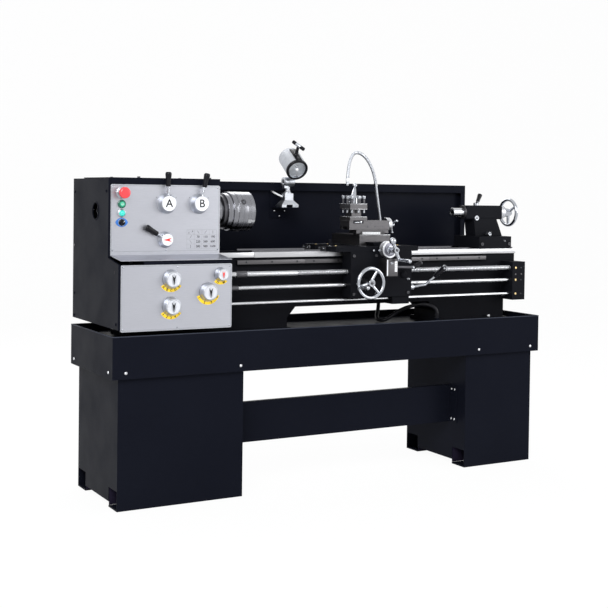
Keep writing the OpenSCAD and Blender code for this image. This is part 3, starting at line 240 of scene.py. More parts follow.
painted("black_paint", (0.0045, 0.0052, 0.0092), (0.0070, 0.0080, 0.0132), 0.34)
# a lighter black for the tray's rim bars: painted highlight along its edges
painted("edge_highlight_paint", (0.020, 0.023, 0.034), (0.060, 0.066, 0.085), 0.40)
painted("pocket_paint", (0.012, 0.010, 0.020), (0.022, 0.018, 0.036), 0.45)
painted("black_casting", (0.0040, 0.0042, 0.0055), (0.0090, 0.0095, 0.0125), 0.42, 0.3, 0.0025, 0.03)
metal("ground_steel", (0.40, 0.41, 0.435), (0.66, 0.67, 0.69), 0.22, (1, 30, 30), 26)
metal("bright_way", (0.42, 0.425, 0.45), (0.70, 0.70, 0.72), 0.30, (0.5, 40, 40), 20)
metal("slide_steel", (0.075, 0.074, 0.080), (0.150, 0.145, 0.150), 0.40, (22, 1, 22), 24, 0.08)
metal("panel_steel", (0.42, 0.43, 0.475), (0.54, 0.55, 0.600), 0.38, (1, 40, 40), 34, 0.05)
metal("chrome", (0.36, 0.375, 0.41), (0.52, 0.54, 0.58), 0.13, depth=0.012)
metal("light_alloy", (0.44, 0.46, 0.50), (0.60, 0.62, 0.66), 0.34)
metal("turned_steel", (0.05, 0.052, 0.060), (0.44, 0.445, 0.48), 0.20, (60, 0.2, 0.2), 14, 0.07)
# the ways' tops: ground steel like their fronts, its colour darkened as a painted reflection of the black
# guard behind, with a real low roughness
metal("way_top_painted_dark", (0.10, 0.10, 0.11), (0.20, 0.20, 0.215), 0.16, (0.5, 40, 40), 20)
metal("satin_chrome", (0.60, 0.61, 0.64), (0.74, 0.75, 0.78), 0.42)
metal("reflector", (0.72, 0.76, 0.82), (0.86, 0.89, 0.93), 0.3)
metal("dark_steel", (0.07, 0.07, 0.078), (0.13, 0.13, 0.14), 0.42)
metal("dial_steel", (0.16, 0.16, 0.19), (0.26, 0.26, 0.30), 0.34, (1, 1, 40), 18)
metal("brass", (0.60, 0.44, 0.20), (0.78, 0.60, 0.32), 0.28)
painted("motor_grey", (0.035, 0.038, 0.045), (0.055, 0.06, 0.068), 0.42, 0.2)
moulded("belt_rubber", (0.015, 0.015, 0.015), (0.03, 0.03, 0.03), 0.68, 0, shine=0.12)
moulded("hose_rubber", (0.008, 0.008, 0.010), (0.016, 0.016, 0.020), 0.38, 0.12, shine=0.12)
moulded("red_plastic", (0.72, 0.030, 0.040), (0.84, 0.055, 0.060), 0.30)
moulded("green_plastic", (0.006, 0.38, 0.20), (0.014, 0.50, 0.28), 0.24)
moulded("green_collar", (0.004, 0.085, 0.05), (0.008, 0.13, 0.08), 0.28)
moulded("teal_lens", (0.02, 0.62, 0.50), (0.05, 0.72, 0.60), 0.18, 0.5)
moulded("blue_plate", (0.02, 0.14, 0.50), (0.04, 0.20, 0.60), 0.34, 0.1)
moulded("black_plastic", (0.004, 0.004, 0.006), (0.009, 0.009, 0.012), 0.27, 0.1, shine=0.12)
moulded("white_face", (0.76, 0.77, 0.79), (0.84, 0.85, 0.87), 0.34, 0.2, 500, 0.04)
moulded("satin_face", (0.52, 0.53, 0.57), (0.64, 0.65, 0.69), 0.3, 0.2, 500, 0.04)
moulded("ink_and_shade_black", (0.010, 0.010, 0.012), (0.022, 0.022, 0.026), 0.5, 0, shine=0.12)
moulded("ink_grey", (0.20, 0.21, 0.23), (0.28, 0.29, 0.31), 0.5, 0)
moulded("ink_red", (0.78, 0.028, 0.022), (0.88, 0.045, 0.035), 0.45, 0)
moulded("dial_yellow", (0.86, 0.56, 0.010), (0.93, 0.64, 0.020), 0.42, 0)


BETTER = {"chuck_body": "turned_steel", "spindle": "turned_steel"}


def dress_nodes():
    """Each CAD node takes its slot's material, or a better one of its own."""
    slot_of = {part["node"]: part["material_slot"] for part in record["subparts"]}
    for name, obj in frame["nodes"].items():
        mat = MATS[BETTER.get(name, slot_of[name])]
        if not obj.material_slots:
            obj.data.materials.append(mat)
        for spot in obj.material_slots:
            spot.material = mat


dress_nodes()


# ------------------------------------------------------------ coolant hose
HOSE = [[555, -94, 650], [555, -94, 661], [555, -94, 672], [550, -91, 688], [537, -83, 700],
    [513, -67, 708], [484, -48, 707], [455, -32, 699], [430, -18, 689], [405, -6, 675], [382, 4, 658],
    [362, 8, 646], [345, 14, 638], [334, 34, 636], [340, 62, 641], [356, 88, 654], [374, 108, 676],
    [386, 124, 704], [388, 138, 740], [384, 146, 780], [379, 149, 825], [377, 149, 875],
    [376.5, 149, 930.7]]
HOSE_R = 8.5


def make_hose():
    """The cord follows the CAD solid's own route, and stands for that solid."""
    route = [p * MM for p in smooth_route(HOSE, 4)]
    data = bpy.data.curves.new("hose", "CURVE")
    data.dimensions = "3D"
    data.bevel_depth = HOSE_R * MM
    data.bevel_resolution = 6
    data.use_fill_caps = True
    line = data.splines.new("POLY")
    line.points.add(len(route) - 1)
    for spot, p in zip(line.points, route):
        spot.co = (*p, 1)
    hose = bpy.data.objects.new("hose", data)
    scene.collection.objects.link(hose)
    data.materials.append(MATS["hose_rubber"])
    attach(hose, "frame")
    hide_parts("coolant_hose")


make_hose()


# ------------------------------------------------------------- mesh kit
def soften(points, size):
    """Rounds the corners of an open outline of 2-D points."""
    pts = [Vector(p) for p in points]
    out = [pts[0]]
    for a, b, c in zip(pts, pts[1:], pts[2:]):
        r1, r2 = min(size, (a - b).length / 2), min(size, (c - b).length / 2)
        if min(r1, r2) < 1e-4:
            out.append(b)
            continue
        p, q = b + (a - b).normalized() * r1, b + (c - b).normalized() * r2
        for t in (0, 1 / 3, 2 / 3, 1):
            out.append((1 - t) ** 2 * p + 2 * t * (1 - t) * b + t * t * q)
    out.append(pts[-1])
    return out


class Piece:
    """Shapes in millimetres, gathered into one mesh that rides on a body."""

    def __init__(self):
        self.bm = bmesh.new()
        self.mats = []

    def paint(self, faces, mat):
        """Gives the faces a material, by its name in MATS."""
        if mat not in self.mats:
            self.mats.append(mat)
        for f in faces:
            f.material_index = self.mats.index(mat)

    def rings(self, rings, mat, close=True):
        """Skins a row of rings; a ring of one vertex is a tip."""
        faces = []
        for a, b in zip(rings, rings[1:]):
            n = max(len(a), len(b))
            for k in range(n):
                j = (k + 1) % n
                if len(a) == 1:
                    faces.append(self.bm.faces.new((a[0], b[j], b[k])))
                elif len(b) == 1:
                    faces.append(self.bm.faces.new((a[k], a[j], b[0])))
                else:
                    faces.append(self.bm.faces.new((a[k], a[j], b[j], b[k])))
        if close:
            for r, flip in ((rings[0], True), (rings[-1], False)):
                if len(r) > 2:
                    faces.append(self.bm.faces.new(r[::-1] if flip else r))
        self.paint(faces, mat)

    def turned(self, base, axis, outline, mat, n, soft):
        """An outline of (radius, distance along the axis) turned round the axis."""
        w = Vector(axis).normalized()
        u = w.orthogonal().normalized()
        v = w.cross(u)
        rings = []
        for r, h in soften(outline, soft) if soft else [Vector(p) for p in outline]:
            if r < 1e-4:
                rings.append([self.bm.verts.new(base + w * h)])
            else:
                rings.append([self.bm.verts.new(base + w * h + r * wave(360 * k / n, u, v))
                              for k in range(n)])
        self.rings(rings, mat, close=False)

    def tube(self, points, radii, mat, n=16):
        """A round bar along points, with one radius for each."""
        pts = [Vector(p) for p in points]
        if not hasattr(radii, "__len__"):
            radii = [radii] * len(pts)
        w = (pts[1] - pts[0]).normalized()
        u = w.orthogonal().normalized()
        rings = []
        for i, p in enumerate(pts):
            t = (pts[min(i + 1, len(pts) - 1)] - pts[max(i - 1, 0)]).normalized()
            u = (u - t * u.dot(t)).normalized()
            v = t.cross(u)
            rings.append([self.bm.verts.new(p + radii[i] * wave(360 * k / n, u, v))
                          for k in range(n)])
        self.rings(rings, mat)

    def bar(self, a, b, ra, rb, mat, n=20, soft=1.5):
        """A straight bar with rounded ends."""
        d = b - a
        self.turned(a, d, [(0, 0), (ra, 0), (rb, d.length), (0, d.length)], mat, n, soft)

    def ball(self, p, r, mat, n):
        steps = n // 2
        self.turned(p, Z, [(r * math.sin(math.pi * k / steps), -r * math.cos(math.pi * k / steps))
                           for k in range(steps + 1)], mat, n, 0)

    def slab(self, outline, origin, u, v, depth, mat, soft=0.0):
        """A flat outline drawn out by depth along u x v, its front edge chamfered."""
        w = u.cross(v)
        low = [self.bm.verts.new(origin + a * u + b * v) for a, b in outline]
        top = [self.bm.verts.new(origin + a * u + b * v + depth * w) for a, b in outline]
        n = len(low)
        faces = [self.bm.faces.new(low[::-1]), self.bm.faces.new(top)]
        faces += [self.bm.faces.new((low[k], low[(k + 1) % n], top[(k + 1) % n], top[k]))
                  for k in range(n)]
        self.paint(faces, mat)
        if soft:
            self.bevel(list(faces[1].edges), soft, mat)

    def bevel(self, edges, size, mat):
        made = bmesh.ops.bevel(self.bm, geom=edges, offset=size, segments=2, profile=0.6,
            affect="EDGES")
        self.paint(made["faces"], mat)

    def block(self, a, b, mat, soft):
        """A box between two corners, with all its edges rounded."""
        low = Vector([min(p, q) for p, q in zip(a, b)])
        top = Vector([max(p, q) for p, q in zip(a, b)])
        verts = bmesh.ops.create_cube(self.bm, size=1)["verts"]
        for v in verts:
            v.co = Vector([low[i] + (v.co[i] + 0.5) * (top[i] - low[i]) for i in range(3)])
        faces = {f for v in verts for f in v.link_faces}
        edges = {e for v in verts for e in v.link_edges}
        self.paint(faces, mat)
        self.bevel(list(edges), min(soft, min(top - low) * 0.45), mat)

    def words(self, text, p, u, v, size, mat, lift, turn=0.0, bold=0.0):
        """Plain figures or letters standing lift proud of p."""
        data = bpy.data.curves.new("figures", "FONT")
        data.body = text
        data.size = size
        data.align_x = data.align_y = "CENTER"
        data.extrude = lift / 2
        data.offset = bold
        data.resolution_u = 3
        obj = bpy.data.objects.new("figures", data)
        scene.collection.objects.link(obj)
        view = bpy.context.evaluated_depsgraph_get()
        mesh = bpy.data.meshes.new_from_object(obj.evaluated_get(view))
        a, b = wave(turn, u, v), wave(turn, v, -u)
        move = Matrix((a, b, a.cross(b))).transposed().to_4x4()
        move.translation = p + a.cross(b) * lift / 2
        mesh.transform(move)
        before = len(self.bm.faces)
        self.bm.from_mesh(mesh)
        self.bm.faces.ensure_lookup_table()
        self.paint(self.bm.faces[before:], mat)
        bpy.data.objects.remove(obj)
        bpy.data.meshes.remove(mesh)

    def done(self, name, body, slot, *replaced):
        """Makes the mesh, hangs it on its body and hides the CAD parts it stands for; slot is not used."""
        bmesh.ops.recalc_face_normals(self.bm, faces=self.bm.faces)
        bmesh.ops.scale(self.bm, vec=(MM, MM, MM), verts=self.bm.verts)
        mesh = bpy.data.meshes.new(name)
        self.bm.to_mesh(mesh)
        self.bm.free()
        for mat in self.mats:
            mesh.materials.append(MATS[mat])
        mesh.shade_smooth()
        mesh.set_sharp_from_angle(angle=math.radians(SHARP))
        obj = bpy.data.objects.new(name, mesh)
        scene.collection.objects.link(obj)
        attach(obj, body)
        if replaced:
            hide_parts(*replaced)
        return obj


def sector(r0, r1, a0, a1, n=24):
    """A flat arc, as an outline for slab."""
    angles = [math.radians(a0 + (a1 - a0) * k / n) for k in range(n + 1)]
    return [(r1 * math.cos(a), r1 * math.sin(a)) for a in angles] + \
           [(r0 * math.cos(a), r0 * math.sin(a)) for a in angles[::-1]]


def circle(r, n):
    return [(r * math.cos(2 * math.pi * k / n), r * math.sin(2 * math.pi * k / n))
            for k in range(n)]


def rect(x0, z0, x1, z1):
    return [(x0, z0), (x1, z0), (x1, z1), (x0, z1)]


def rounded_box(w, h, r):
    """The outline of a plate of w by h with rounded corners, centred."""
    n, out = 5, []
    for cx, cy, a in ((w / 2 - r, -h / 2 + r, -90), (w / 2 - r, h / 2 - r, 0),
                      (-w / 2 + r, h / 2 - r, 90), (-w / 2 + r, -h / 2 + r, 180)):
        out += [(cx + r * math.cos(math.radians(a + 90 * k / n)),
                 cy + r * math.sin(math.radians(a + 90 * k / n))) for k in range(n + 1)]
    return out


def framed(piece, cx, y, cz, w, h, r, line, lift, mat):
    """A printed border line round a plate that faces the operator."""
    outer, inner = rounded_box(w, h, r), rounded_box(w - 2 * line, h - 2 * line, r - line)
    n = len(outer)
    for k in range(n):
        j = (k + 1) % n
        piece.slab([outer[k], outer[j], inner[j], inner[k]], at(cx, y, cz), X, Z, lift, mat)


def hexagon(piece, base, axis, across, height, mat):
    """A hexagon head or nut."""
    w = Vector(axis).normalized()
    piece.turned(base, w, [(0, 0), (across * 0.577, 0), (across * 0.577, height * 0.85),
        (across * 0.5, height), (0, height)], mat, 6, 0)


def socket_screw(piece, base, axis, r, mat="dark_steel"):
    """A cap screw's head with its hollow."""
    piece.turned(base, axis, [(0, 0), (r, 0), (r, r * 0.9), (r * 0.55, r * 0.9), (r * 0.5, r * 0.35),
        (0, r * 0.35)], mat, 20, 0.3)


def dome(piece, base, axis, r, mat):
    """A low round screw head or rivet."""
    piece.turned(base, axis, [(0, 0), (r, 0), (r, r * 0.15), (r * 0.86, r * 0.42), (r * 0.5, r * 0.62),
        (0, r * 0.68)], mat, 18, 0.3)


# ------------------------------------------------------ headstock controls
def arrow(size):
    """A notched pointer, tip down."""
    return [(0, -size), (size * 0.40, size * 0.82), (0, size * 0.30), (-size * 0.40, size * 0.82)]


def lens(w, h):
    """A pointed oval."""
    n = 10
    side = [(w * math.cos(math.pi * (k / n - 0.5)) ** 1.3, h * math.sin(math.pi * (k / n - 0.5)))
            for k in range(n)]
    return side + [(-x, -z) for x, z in side]


def make_knobs():
    """Four selector knobs, each with a pointer, and its yellow scale on the lower panel."""
    for i, (marks, spread, red) in enumerate((("ABCDE", 46, False), ("12345", 46, False),
                                              ("1234", 60, False), ("DM", 22, True))):
        node = "knob_%d" % (i + 1)
        c, r, face = centre(node), (hi(node).x - lo(node).x) / 2, lo(node).y
        base = at(c.x, hi("lower_panel").y - 3.3, c.z)
        depth = base.y - face
        piece = Piece()
        piece.turned(base, -Y, [(0, 0), (r - 1.2, 0), (r - 1.2, 1.2), (r, 1.3), (r, 4), (r * 0.95, 7),
            (r * 0.87, depth - 3), (r * 0.81, depth), (r * 0.72, depth), (r * 0.70, depth - 0.7),
            (0, depth - 0.7)], "light_alloy", 64, 1.4)
        # a dark steel ring at the knob's foot: partly a real collar, partly painted shade where the knob
        # meets the panel
        piece.turned(base, -Y, rect(r - 1.3, 0.1, r + 0.1, 1.3), "dark_steel", 64, 0.3)
        top = at(c.x, face + 0.7, c.z)
        piece.slab(circle(r * 0.69, 48), top, X, Z, 0.25, "satin_face")
        piece.slab(lens(r * 0.26, r * 0.62), top + at(0, -0.2, 0), X, Z, 0.3, "light_alloy", 0.12)
        piece.slab(arrow(r * 0.58), top + at(0, -0.45, 0), X, Z, 0.3, "ink_red" if red else "ink_and_shade_black")
        piece.bar(base, base + at(0, 8, 0), 6, 6, "dark_steel", 16, 0)
        piece.done(node + "_dial", node, "light_alloy", node)

        scale = Piece()
        wide = spread + (11 if len(marks) > 2 else 22)
        panel = at(c.x, lo("lower_panel").y, c.z)
        parts = 24
        for k in range(parts):
            a = -90 - wide + 2 * wide * k / parts
            scale.slab(sector(r + 1.5, r + 13.5, a, a + 2 * wide / parts, 2), panel, X, Z, 0.15,
                "dial_yellow")
        for k, mark in enumerate(marks):
            a = -90 - spread + 2 * spread * k / (len(marks) - 1)
            p = panel + (r + 7.5) * wave(a, X, Z) + at(0, -0.15, 0)
            scale.words(mark, p, X, Z, 13, "ink_and_shade_black", INK, a + 90, 0.3)
        scale.done(node + "_scale", "frame", "panel_steel")


def make_levers():
    """Two speed levers and the feed direction lever: hub, face, rod and grip."""
    for node, joint, mark, lean, reach in (("speed_lever_a", "speed_lever_a", "A", 0, 66),
                                            ("speed_lever_b", "speed_lever_b", "B", 12.5, 66),
                                            ("feed_direction_lever", "feed_direction", None, -60,
                                             44)):
        p = PIN[joint + "_turn"]
        r, depth = (40, 30) if mark else (32, 24)
        base = at(p.x, lo("lower_panel").y + PANEL_STEP - 0.3, p.z)
        d = wave(90 - lean, X, Z)
        piece = Piece()
        piece.turned(base, -Y, [(0, 0), (r - 1, 0), (r, 1), (r, 3.5), (r * 0.93, 6),
            (r * 0.80, depth - 5), (r * 0.76, depth - 1), (r * 0.72, depth), (0, depth)], "light_alloy",
            64, 1.6)
        face = base + at(0, -depth, 0)
        piece.turned(face, -Y, [(0, -0.1), (r * 0.71, -0.1), (r * 0.71, 0.5), (r * 0.68, 0.8),
            (0, 0.8)], "white_face", 64, 0.3)
        if mark:
            piece.words(mark, face + at(0, -0.8, 0), X, Z, 44, "ink_and_shade_black", 0.3, 0, 0.55)
        else:
            piece.slab([(z, -x) for x, z in arrow(20)], face + at(1, -0.8, 0), X, Z, 0.3,
                       "ink_red")
        piece.bar(base, base + at(0, 14, 0), 8, 8, "dark_steel", 20, 0)
        m = base + at(0, -depth * 0.62, 0)
        piece.turned(m + (r * 0.78) * d, d, [(0, -4), (8, -4), (8, 3), (6, 5), (0, 5)], "chrome", 24,
            0.8)
        piece.bar(m, m + (reach + 4) * d, 4.5, 4.5, "chrome", 20, 0)
        piece.turned(m + reach * d, d, [(0, 0), (7.6, 0), (9.4, 4), (9.8, 12), (10.4, 28), (12.2, 44),
            (12.5, 50), (10, 56), (5, 57), (0, 57)], "black_plastic", 28, 2.5)
        for k in range(3):
            piece.turned(m + (reach + 1.6 + 2.2 * k) * d, d, [(8.6, 0), (9.6, 0.4), (9.6, 1.0),
                (8.6, 1.4)], "black_plastic", 28, 0)
        piece.done(node + "_handle", node, "light_alloy", node)


def make_buttons():
    """The stop and start buttons, the coolant selector, and what stands still round them."""
    x = centre("e_stop_button").x
    y = lo("lower_panel").y + PANEL_STEP
    z = centre("e_stop_button").z
    stop = Piece()
    stop.turned(at(x, y - 13, z), -Y, [(0, -8), (8, -8), (8, 9), (14, 11), (14, 14), (22, 16), (22, 21),
        (20.5, 26), (16, 28.4), (8, 29), (0, 29)], "red_plastic", 48, 1.6)
    stop.done("e_stop_head", "e_stop_button", "red_plastic", "e_stop_button")
    green = Piece()
    z = centre("start_button").z
    green.turned(at(x, y - 4, z), -Y, [(0, -6), (10, -6), (10, 4), (9.3, 6), (7.5, 6.4), (7, 5.8),
        (0, 5.8)], "green_plastic", 40, 0.8)
    green.turned(at(x, y - 4, z), -Y, rect(3.4, 5.7, 4.6, 6.1), "white_face", 32, 0)
    green.done("start_head", "start_button", "green_plastic", "start_button")
    pick = Piece()
    z = centre("coolant_switch").z
    pick.turned(at(x, y, z), -Y, [(0, 0.2), (12.5, 0.2), (12.5, 6), (11, 8), (10.6, 12), (9.6, 14),
        (0, 14)], "black_plastic", 40, 0.8)
    d = wave(50, X, Z)
    side = wave(140, X, Z)
    pick.slab(rect(-9.5, -3.2, 9.5, 3.2), at(x, y - 13.8, z), d, side, 6, "black_plastic", 1.2)
    pick.slab(rect(1, -0.8, 9, 0.8), at(x, y - 19.8, z), d, side, 0.25, "white_face")
    pick.bar(at(x, y, z), at(x, y + 8, z), 5, 5, "dark_steel", 16, 0)
    pick.done("coolant_selector", "coolant_switch", "black_plastic", "coolant_switch")

    rim = Piece()
    z = centre("e_stop_button").z
    rim.turned(at(x, y, z), -Y, [(8.2, 0), (22.5, 0), (23, 1), (22, 3), (19.4, 4.2), (19.2, 11),
        (18, 12.3), (8.2, 12.3)], "light_alloy", 56, 0.8)
    z = centre("start_button").z
    rim.turned(at(x, y, z), -Y, [(10.2, 0), (16.5, 0), (16.5, 2), (14.6, 3), (14.3, 7.2), (13, 8.4),
        (10.2, 8.4)], "green_collar", 48, 0.6)
    z -= 35                          # the signal lamp, under the start button
    rim.turned(at(x, y, z), -Y, [(0, 0), (16.4, 0), (16.4, 2), (14.5, 3), (14.2, 5.2), (12.6, 6),
        (0, 6)], "light_alloy", 48, 0.6)
    rim.turned(at(x, y - 5, z), -Y, [(12.5, 0)] + [(12.5 * math.cos(a), 12.5 * math.sin(a))
               for a in [math.pi / 2 * k / 8 for k in range(1, 8)]] + [(0, 12.5)],
               "teal_lens", 40, 0)
    for r in (4, 7.5, 10.4):
        h = math.sqrt(12.6 ** 2 - r * r)
        rim.turned(at(x, y - 5, z), -Y, [(r - 0.4, h - 0.3), (r, h + 0.3), (r + 0.4, h - 0.3)],
            "teal_lens", 40, 0)
    z = centre("coolant_switch").z
    rim.slab(lens(17.5, 25), at(x, y, z), Z, -X, 0.8, "blue_plate", 0.2)
    rim.turned(at(x, y - 0.7, z), -Y, [(11.2, 0), (14.2, 0), (14.2, 1), (13.4, 2.2), (12.7, 2.2),
        (12.7, 0)], "light_alloy", 40, 0.4)
    rim.done("control_rims", "frame", "light_alloy")


def printed_table(marks, right_edge, top, y):
    """A bare table of plain figures on the upper panel."""
    left, right, high, foot = right_edge - 141, right_edge - 14, top - 174, top - 249
    row = (high - foot) / 4
    cols = (left, left + 32, left + 64, left + 95.5, right)
    face = at(0, y, 0)
    for k in range(5):
        z = high - k * row
        marks.slab(rect(left, z - 0.3, right, z + 0.3), face, X, Z, INK, "ink_grey")
    for x in cols:
        marks.slab(rect(x - 0.3, foot, x + 0.3, high), face, X, Z, INK, "ink_grey")
    for x, word, down in ((left + 8, "A", 0.66), (left + 24, "B", 0.36)):
        marks.words(word, at(x, y, high - row * down), X, Z, 9, "ink_and_shade_black", INK)
    marks.slab([(left + 0.6, high), (left + 32, high - row + 0.6), (left + 32, high - row),
        (left, high)], face, X, Z, INK, "ink_grey")
    for k in range(3):
        for x, z, lean in (((cols[k + 1] + cols[k + 2]) / 2, high - row / 2, (-4, 4, 0)[k]),
                           (left + 16, high - (k + 1.5) * row, (4, -4, 0)[k])):
            marks.slab([(x - lean - 0.6, z - 6), (x - lean + 0.6, z - 6), (x + lean + 0.6, z + 6),
                (x + lean - 0.6, z + 6)], face, X, Z, INK, "ink_and_shade_black")
    for j, line in enumerate((("70", "115", "190"), ("220", "360", "600"), ("300", "980", "1600"))):
        for k, word in enumerate(line):
            marks.words(word, at((cols[k + 1] + cols[k + 2]) / 2, y, high - (j + 1.5) * row), X, Z,
                12.5, "ink_and_shade_black", INK, 0, 0.2)


def make_panel_marks():
    """Border lines, rivets and print of both panels."""
    a, b = lo("lower_panel"), hi("lower_panel")
    for node, low, r in (("upper_panel", 961, 8), ("lower_panel", 672, 6)):
        top = hi(node).z
        y = a.y + (PANEL_STEP if node == "upper_panel" else 0)
        cx, cz = (a.x + b.x) / 2, (low + top) / 2
        w, h = b.x - a.x, top - low
        marks = Piece()
        framed(marks, cx, y, cz, w - 9, h - 9, r, 0.9, INK, "ink_grey")
        framed(marks, cx, y, cz, w - 0.4, h - 0.4, r + 3, 2.2, 0.5, "light_alloy")
        for px in (-w / 2 + 9.5, 0, w / 2 - 9.5):
            for pz in (-h / 2 + 9.5, h / 2 - 9.5):
                dome(marks, at(cx + px, y, cz + pz), -Y, 3.4, "chrome")
        if node == "upper_panel":
            printed_table(marks, b.x, top, y)
            for angle in (30, 90, 150):
                for lever in ("speed_lever_a", "speed_lever_b"):
                    p = PIN[lever + "_turn"]
                    q = at(p.x, y, p.z) + 47 * wave(angle, X, Z)
                    if q.z < top - 8:
                        marks.slab(circle(1.3, 12), q, X, Z, INK, "ink_and_shade_black")
        marks.done(node + "_marks", "frame", "panel_steel")


# ----------------------------------------------------------------- the lamp
KNEE = PIN["lamp_tilt"]


def make_lamp():
    """The lamp's mounting plate, conduit, knuckle and the fittings of its head."""
    foot, back = lo("lamp_base").z, hi("lamp_base").y
    shelf = foot + 45
    plate = Piece()
    plate.block(at(KNEE.x - 55.6, back - 3.6, foot - 0.6), at(KNEE.x + 29.6, back, foot + 128.6),
        "black_paint", 0.8)
    plate.block(at(KNEE.x - 50.8, KNEE.y - 32.8, shelf - 0.8), at(KNEE.x + 45.8, back, shelf + 3.6),
        "black_paint", 0.6)
    for x, z in ((KNEE.x - 34, shelf - 13), (KNEE.x + 16, shelf - 13), (KNEE.x - 9, shelf - 36)):
        dome(plate, at(x, back - 3.6, z), -Y, 4.2, "ground_steel")
    plate.done("lamp_plate", "frame", "black_paint")

    base = Piece()
    for x in (KNEE.x - 30, KNEE.x + 30):
        for y in (KNEE.y - 19, KNEE.y + 19):
            dome(base, at(x, y, shelf + 9.5), Z, 4, "ground_steel")
    route = [at(KNEE.x - 50, back - 4, KNEE.z - 35), at(KNEE.x - 49, back - 10, KNEE.z - 43),
        at(KNEE.x - 40, KNEE.y + 36, KNEE.z - 52), at(KNEE.x - 28, KNEE.y + 20, KNEE.z - 61),
        at(KNEE.x - 16, KNEE.y + 5, KNEE.z - 68)]
    base.tube(smooth_route(route), 4.1, "white_face", 14)
    base.turned(at(KNEE.x, KNEE.y, KNEE.z - 52), Z, [(14.3, 0), (17, 0), (17, 4), (15, 6), (14.3, 6)],
        "light_alloy", 32, 1)
    base.done("lamp_conduit", "frame", "light_alloy")

    arm = Piece()
    left = at(KNEE.x - 20, KNEE.y, KNEE.z)
    arm.turned(left, -X, [(10, -0.2), (21, -0.2), (21.2, 1), (19.5, 2.4), (11, 2.4), (9, 0.6),
        (0, 0.6)], "light_alloy", 48, 0.8)
    hexagon(arm, left + at(-0.4, 0, 0), -X, 13, 3.4, "dark_steel")
    for dx in (-20, -0.6):
        arm.turned(at(KNEE.x + dx, KNEE.y, KNEE.z), X, [(20.4, 2), (21.5, 2.6), (21.5, 4), (20.4, 4.6)],
            "light_alloy", 48, 0.3)
    arm.turned(at(KNEE.x, KNEE.y, KNEE.z - 42), Z, [(10.8, 0), (12.6, 0), (12.6, 3), (10.8, 5)],
        "ground_steel", 32, 0.6)
    arm.done("lamp_knuckle", "lamp_arm", "light_alloy")

    aim = Vector((-0.08, -0.84, -0.54)).normalized()
    rise = (Z - aim * aim.z).normalized()
    side = aim.cross(rise)
    mouth = KNEE + 14 * X + 82 * rise + 34 * aim
    head = Piece()
    fins, plate_half = 56, 17        # no fins under the slot plate
    for k in range(fins):
        a = 360 * k / fins
        out = wave(a, side, rise)
        if abs((a - 90 + 180) % 360 - 180) < plate_half:
            continue
        head.slab(rect(-1.55, 10, 1.55, 106), mouth + 46.6 * out, (-aim).cross(out), -aim, 1.2,
            "light_alloy", 0.5)
    head.turned(mouth, aim, [(38.6, -3), (38.6, 2), (42, 4.6), (46.6, 4.6), (49, 2), (49, -8),
        (46.8, -9)], "black_plastic", 72, 1.0)
    head.turned(mouth, aim, [(38.8, -2.8), (30, -2.6), (12, -2.5), (0, -2.5)], "reflector", 64, 0.5)
    for r in (10, 17, 24, 31):
        head.turned(mouth, aim, [(r - 1.6, -2.6), (r, -1.6), (r + 1.6, -2.6)], "reflector", 64, 0.3)
    for k in range(18):
        out = wave(20 * k, side, rise)
        head.bar(mouth - 2.4 * aim + 9 * out, mouth - 2.4 * aim + 37 * out, 0.5, 0.9, "reflector", 6, 0)
    head.ball(mouth - 3 * aim, 7.5, "white_face", 20)
    top = mouth - 50 * aim + 46.5 * rise
    head.slab([(-15, -44), (15, -44), (13, 44), (-13, 44)], top, side, aim, 3.6, "black_plastic", 1.2)
    head.slab(rect(-3, -30, 3, 30), top + 3.6 * rise, side, aim, 0.3, "dark_steel")
    stud = mouth - 48 * aim
    grip = stud + 95 * rise
    bar = Vector((0.47, -0.70, -0.55)).normalized()
    head.turned(stud + 48 * rise, rise, [(0, 0), (12, 0), (12, 5), (8, 8), (7, 20), (6.4, 46), (0, 46)],
        "black_plastic", 28, 1.5)
    head.bar(grip - 13 * bar, grip + 13 * bar, 7.8, 7.8, "light_alloy", 24, 1)
    for s in (-1, 1):
        head.bar(grip + s * 12 * bar, grip + s * 33 * bar, 7.9, 7.9, "black_plastic", 24, 3)
    head.turned(KNEE + 25 * X, X, [(0, 0.2), (20.5, 0.2), (20.5, 2.4), (9, 2.4), (8, 4.4), (0, 4.4)],
        "light_alloy", 40, 0.8)
    head.done("lamp_fittings", "lamp_head", "light_alloy")


def make_gooseneck():
    """A rigid pipe, a ribbed flexible bend and a white nozzle."""
    foot = at(387.5, 121.5, 975.3)
    knee, lean = foot + at(0, 0, 96), foot + at(-40, -20, 265)
    peak, tip = foot + at(-162, -55, 403), foot + at(-225, -80, 261)

    def curve(a, b, c, d, t):
        s = 1 - t
        return s ** 3 * a + 3 * s * s * t * b + 3 * s * t * t * c + t ** 3 * d

    fine = [curve(lean, lean + at(-18, -9, 78), peak + at(56, 20, 0), peak, k / 70)
            for k in range(70)]
    fine += [curve(peak, peak + at(-44, -16, 0), tip + at(2, 4, 88), tip, k / 44)
             for k in range(45)]
    rigid = [foot + at(0, 0, 20), foot + at(0, 0, 60), knee]
    rigid += [knee.lerp(lean, k / 6) for k in range(1, 7)]
    piece = Piece()
    piece.tube(rigid, 6.9, "light_alloy", 20)
    route, radii = [], []
    for a, b in zip(fine, fine[1:]):
        for t, r in ((0, 6.6), (0.25, 7.3), (0.5, 7.3), (0.75, 6.6)):
            route.append(a.lerp(b, t))
            radii.append(r)
    piece.tube(route, radii, "light_alloy", 16)
    piece.tube([lean - (fine[1] - lean).normalized() * 9, lean,
        lean + (fine[1] - lean).normalized() * 7], 8.4, "ground_steel", 20)
    down = (tip - fine[-2]).normalized()
    piece.turned(tip - 27 * down, down, [(0, 0), (8.6, 0), (8.6, 12), (7.4, 14), (4.8, 30), (3.2, 30),
        (3, 24), (0, 24)], "white_face", 24, 0.8)
    piece.turned(foot, Z, [(0, 0), (15, 0), (15, 3), (13.6, 4), (13.6, 20), (12, 23), (0, 23)],
        "light_alloy", 32, 0.8)
    hexagon(piece, foot + at(0, 0, 23), Z, 19, 9, "ground_steel")
    piece.done("gooseneck_tube", "carriage", "light_alloy")


